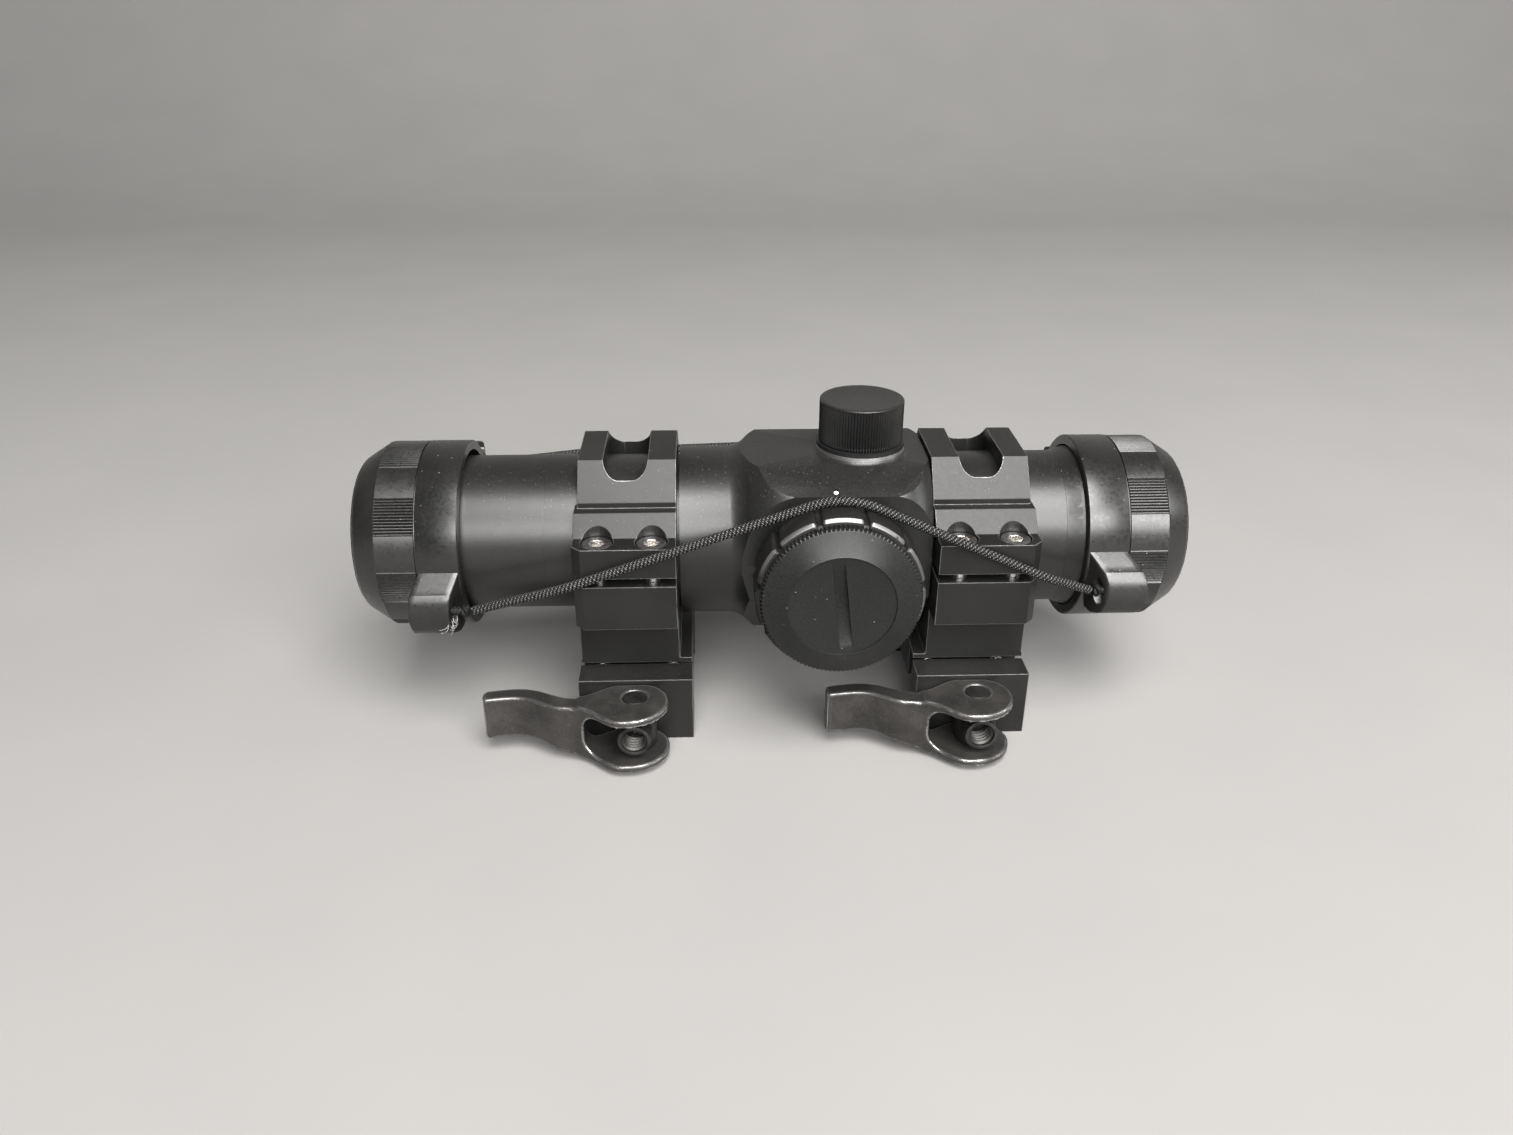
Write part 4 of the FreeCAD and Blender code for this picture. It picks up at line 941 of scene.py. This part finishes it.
def snout_thread(index, x):
    """Thread crests inside the barrel nut's open snout."""
    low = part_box("barrel_nuts")[0]
    start = low.y + 0.35 * MM
    centre = Vector((x, 0, middle("cross_bolts").z))
    turns, pitch, bore = 5, 0.8 * MM, 2.36 * MM
    foot, flat = 0.34 * MM, 0.06 * MM
    steps = 40
    rows = []
    for i in range(turns * steps + 1):
        a = TURN * i / steps
        y = start + pitch * i / steps
        crest = bore - 0.42 * MM * min(1.0, i / 12, (turns * steps - i) / 12 + 0.02)
        spoke = Vector((math.cos(a), 0, math.sin(a)))
        section = ((bore, -foot), (crest, -flat), (crest, flat), (bore, foot))
        rows.append([centre + spoke * r + Vector((0, y + dy, 0)) for r, dy in section])
    bm = bmesh.new()
    verts = add_grid(bm, rows, False, True)
    bm.faces.new(verts[0])
    bm.faces.new(list(reversed(verts[-1])))
    piece = from_bmesh("snout_thread_%d" % index, bm)
    return finish_piece(piece, "sight", "bare_steel", (), 30, "nut_steel")


def index_dot():
    """White dot on the housing's facet, above the dial."""
    half_flat, top, side, edge = 10.0, 17.15, 17.15, 14.0
    slope = math.atan2(top - edge, side - half_flat)
    out = 16.15
    centre = TUBE_AXIS + Vector((0, -out, top - (out - half_flat) * math.tan(slope))) * MM
    centre.x = DIAL_AXIS.x
    normal = Vector((0, -math.sin(slope), math.cos(slope)))
    place = along_axis(centre, normal)
    bm = bmesh.new()
    ring = [(-0.2, 0.02), (-0.2, 0.40), (0.0, 0.42), (0.04, 0.34), (0.06, 0.2), (0.07, 0.02)]
    add_grid(bm, turned_rows(lambda angle: ring, 32, place), True, True)
    return finish_piece(from_bmesh("index_dot", bm), "sight", "black_anodised", (), 50, "index_paint")


def loose_parts(node):
    """Each separate part of a CAD node's mesh, as a list of its faces' corner points."""
    bm = bmesh.new()
    bm.from_mesh(NODES[node].data)
    bmesh.ops.remove_doubles(bm, verts=bm.verts, dist=1e-6)
    bm.faces.index_update()
    taken = set()
    parts = []
    for first in bm.faces:
        if first.index in taken:
            continue
        taken.add(first.index)
        waiting = [first]
        part = []
        while waiting:
            face = waiting.pop()
            part.append([vert.co.copy() for vert in face.verts])
            for vert in face.verts:
                for near in vert.link_faces:
                    if near.index not in taken:
                        taken.add(near.index)
                        waiting.append(near)
        parts.append(part)
    bm.free()
    return sorted(parts, key=lambda part: part[0][0].x)


def jaw_springs():
    """The springs that push the jaws open, each made a piece of its own."""
    for number, part in enumerate(loose_parts("jaw_springs")):
        bm = bmesh.new()
        for corners in part:
            bm.faces.new([bm.verts.new(corner) for corner in corners])
        spring = from_bmesh("jaw_spring_%d" % number, bm)
        piece = finish_piece(spring, "sight", "spring_steel", ["jaw_springs"])
        spots = [corner for corners in part for corner in corners]
        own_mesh(piece)


# ---------------------------------------------------------------- CAD nodes that stay
# width of each rounded edge, in millimetres
EDGE_WIDTH = {
    "front_lever": 0.45, "rear_lever": 0.45, "front_ring_cap": 0.18, "rear_ring_cap": 0.18,
    "front_ring_base": 0.2, "rear_ring_base": 0.2, "front_clamp_jaw": 0.2, "rear_clamp_jaw": 0.2,
    "barrel_nuts": 0.2, "cross_bolts": 0.25, "ring_screws": 0.15,
    "objective_cell": 0.12, "eyepiece_cell": 0.12,
}

# nodes whose finish differs from the rest of their slot
OWN_LOOK = {"ring_screws": "screw_steel", "barrel_nuts": "nut_steel"}


def sharp_by_angle():
    """Node group that keeps edges sharper than 30 degrees crisp and smooths the rest."""
    group = bpy.data.node_groups.new("sharp_by_angle", "GeometryNodeTree")
    group.interface.new_socket("Geometry", in_out="INPUT", socket_type="NodeSocketGeometry")
    group.interface.new_socket("Geometry", in_out="OUTPUT", socket_type="NodeSocketGeometry")
    start = group.nodes.new("NodeGroupInput")
    end = group.nodes.new("NodeGroupOutput")
    angle = group.nodes.new("GeometryNodeInputMeshEdgeAngle")
    gentle = group.nodes.new("FunctionNodeCompare")
    gentle.data_type = "FLOAT"
    gentle.operation = "LESS_THAN"
    gentle.inputs["B"].default_value = math.radians(30)
    shade = group.nodes.new("GeometryNodeSetShadeSmooth")
    shade.domain = "EDGE"
    group.links.new(angle.outputs["Unsigned Angle"], gentle.inputs["A"])
    group.links.new(start.outputs[0], shade.inputs["Geometry"])
    group.links.new(gentle.outputs["Result"], shade.inputs["Shade Smooth"])
    group.links.new(shade.outputs["Geometry"], end.inputs[0])
    return group


def dress_cad_nodes():
    slots = {part["node"]: part["material_slot"] for part in frame["record"]["subparts"]}
    crisp = sharp_by_angle()
    for name, obj in NODES.items():
        obj.data.materials.clear()
        obj.data.materials.append(MATERIALS[OWN_LOOK.get(name, slots[name])])
        for face in obj.data.polygons:
            face.use_smooth = True
        weld = obj.modifiers.new("weld", "WELD")
        weld.merge_threshold = 1e-6
        width = EDGE_WIDTH.get(name)
        if width:
            flat = obj.modifiers.new("flat", "DECIMATE")
            flat.decimate_type = "DISSOLVE"
            flat.angle_limit = math.radians(0.4)
            rounding = obj.modifiers.new("edges", "BEVEL")
            rounding.width = width * MM
            rounding.segments = 3 if width > 0.4 else 2
            rounding.limit_method = "ANGLE"
            rounding.angle_limit = math.radians(28)
            rounding.use_clamp_overlap = False
        shading = obj.modifiers.new("crisp", "NODES")
        shading.node_group = crisp
        if width:
            even = obj.modifiers.new("even", "WEIGHTED_NORMAL")
            even.keep_sharp = True


# ---------------------------------------------------------------- stage, light and camera
def build_floor():
    """Plain sheet that curves up behind the object."""
    bm = bmesh.new()
    front, back, rise, curve = -1.6, 0.9, 1.3, 0.4
    profile = [(front, 0.0), (back - curve, 0.0)]
    for i in range(1, 13):
        a = math.pi / 2 * i / 12
        profile.append((back - curve + curve * math.sin(a), curve - curve * math.cos(a)))
    profile.append((back, rise))
    rows = [[Vector((x, y, FLOOR_Z + z)) for y, z in profile] for x in (-2.2, 2.2)]
    add_grid(bm, rows, False, False)
    floor = from_bmesh("floor", bm)
    for face in floor.data.polygons:
        face.use_smooth = True
    s = Surface("floor_paper", roughness=0.85)
    colour = s.mix(s.noise(0.02, 3), grey(0.18, warm=0.02), grey(0.20, warm=0.025))
    floor.data.materials.append(s.set(Base_Color=colour))
    floor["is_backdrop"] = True


def area_light(name, position, target, size, power, colour=(1, 1, 1)):
    data = bpy.data.lights.new(name, "AREA")
    data.shape = "RECTANGLE"
    data.size, data.size_y = size
    data.energy = power
    data.color = colour
    lamp = bpy.data.objects.new(name, data)
    bpy.context.scene.collection.objects.link(lamp)
    lamp.location = position
    lamp.rotation_euler = (Vector(target) - Vector(position)).to_track_quat("-Z", "Y").to_euler()


def build_light():
    centre = (0, 0, 0.02)
    area_light("key", (0.14, -0.50, 0.90), centre, (0.70, 0.62), 27.0, (1.0, 0.99, 0.97))
    area_light("front", (0.20, -0.90, 0.52), centre, (1.20, 0.40), 25.0, (1.0, 0.99, 0.98))
    area_light("side", (1.0, -0.15, 0.45), centre, (0.4, 0.5), 3.5)
    world = bpy.data.worlds.new("studio")
    bpy.context.scene.world = world
    world.use_nodes = True
    glow = world.node_tree.nodes["Background"].inputs
    glow["Color"].default_value = (0.80, 0.82, 0.85, 1.0)
    glow["Strength"].default_value = 0.09
    bpy.context.scene.view_settings.view_transform = "Standard"


def build_camera():
    """Camera a little above and in front of the object."""
    data = bpy.data.cameras.new("camera")
    data.sensor_fit = "HORIZONTAL"
    data.sensor_width = 36.0
    data.lens = 27.79
    data.clip_start = 0.01
    camera = bpy.data.objects.new("camera", data)
    bpy.context.scene.collection.objects.link(camera)
    pitch, yaw, roll = (math.radians(a) for a in (27.01, 2.37, 0.33))
    ahead = Vector((math.sin(yaw) * math.cos(pitch), math.cos(yaw) * math.cos(pitch), -math.sin(pitch)))
    level = Vector((math.cos(yaw), -math.sin(yaw), 0))
    above = level.cross(ahead)
    right = level * math.cos(roll) + above * math.sin(roll)
    up = above * math.cos(roll) - level * math.sin(roll)
    turn = Matrix((right, up, -ahead)).transposed().to_4x4()
    place = Vector((-17.2, -211.0, 98.8)) * MM + Vector((0, 0, TUBE_AXIS.z))
    camera.matrix_world = Matrix.Translation(place) @ turn
    bpy.context.scene.camera = camera


def write_sizes():
    boxes = {"cad": CAD_BOX, "visual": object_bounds()}
    {name: [list(corner) for corner in pair] for name, pair in boxes.items()}


dress_cad_nodes()
build_cover("front")
build_cover("rear")
build_cords()
build_knots("front")
build_knots("rear")
turret_cap("elevation_cap", "elevation_cover", (0, 0, 1))
turret_cap("windage_cap", "windage_cover", (0, 1, 0))
dial()
battery_cap()
for number, place_x in enumerate((-32.2 * MM, 32.2 * MM)):
    snout_thread(number, place_x)
index_dot()
jaw_springs()
frayed_threads()
build_floor()
build_light()
build_camera()
write_sizes()
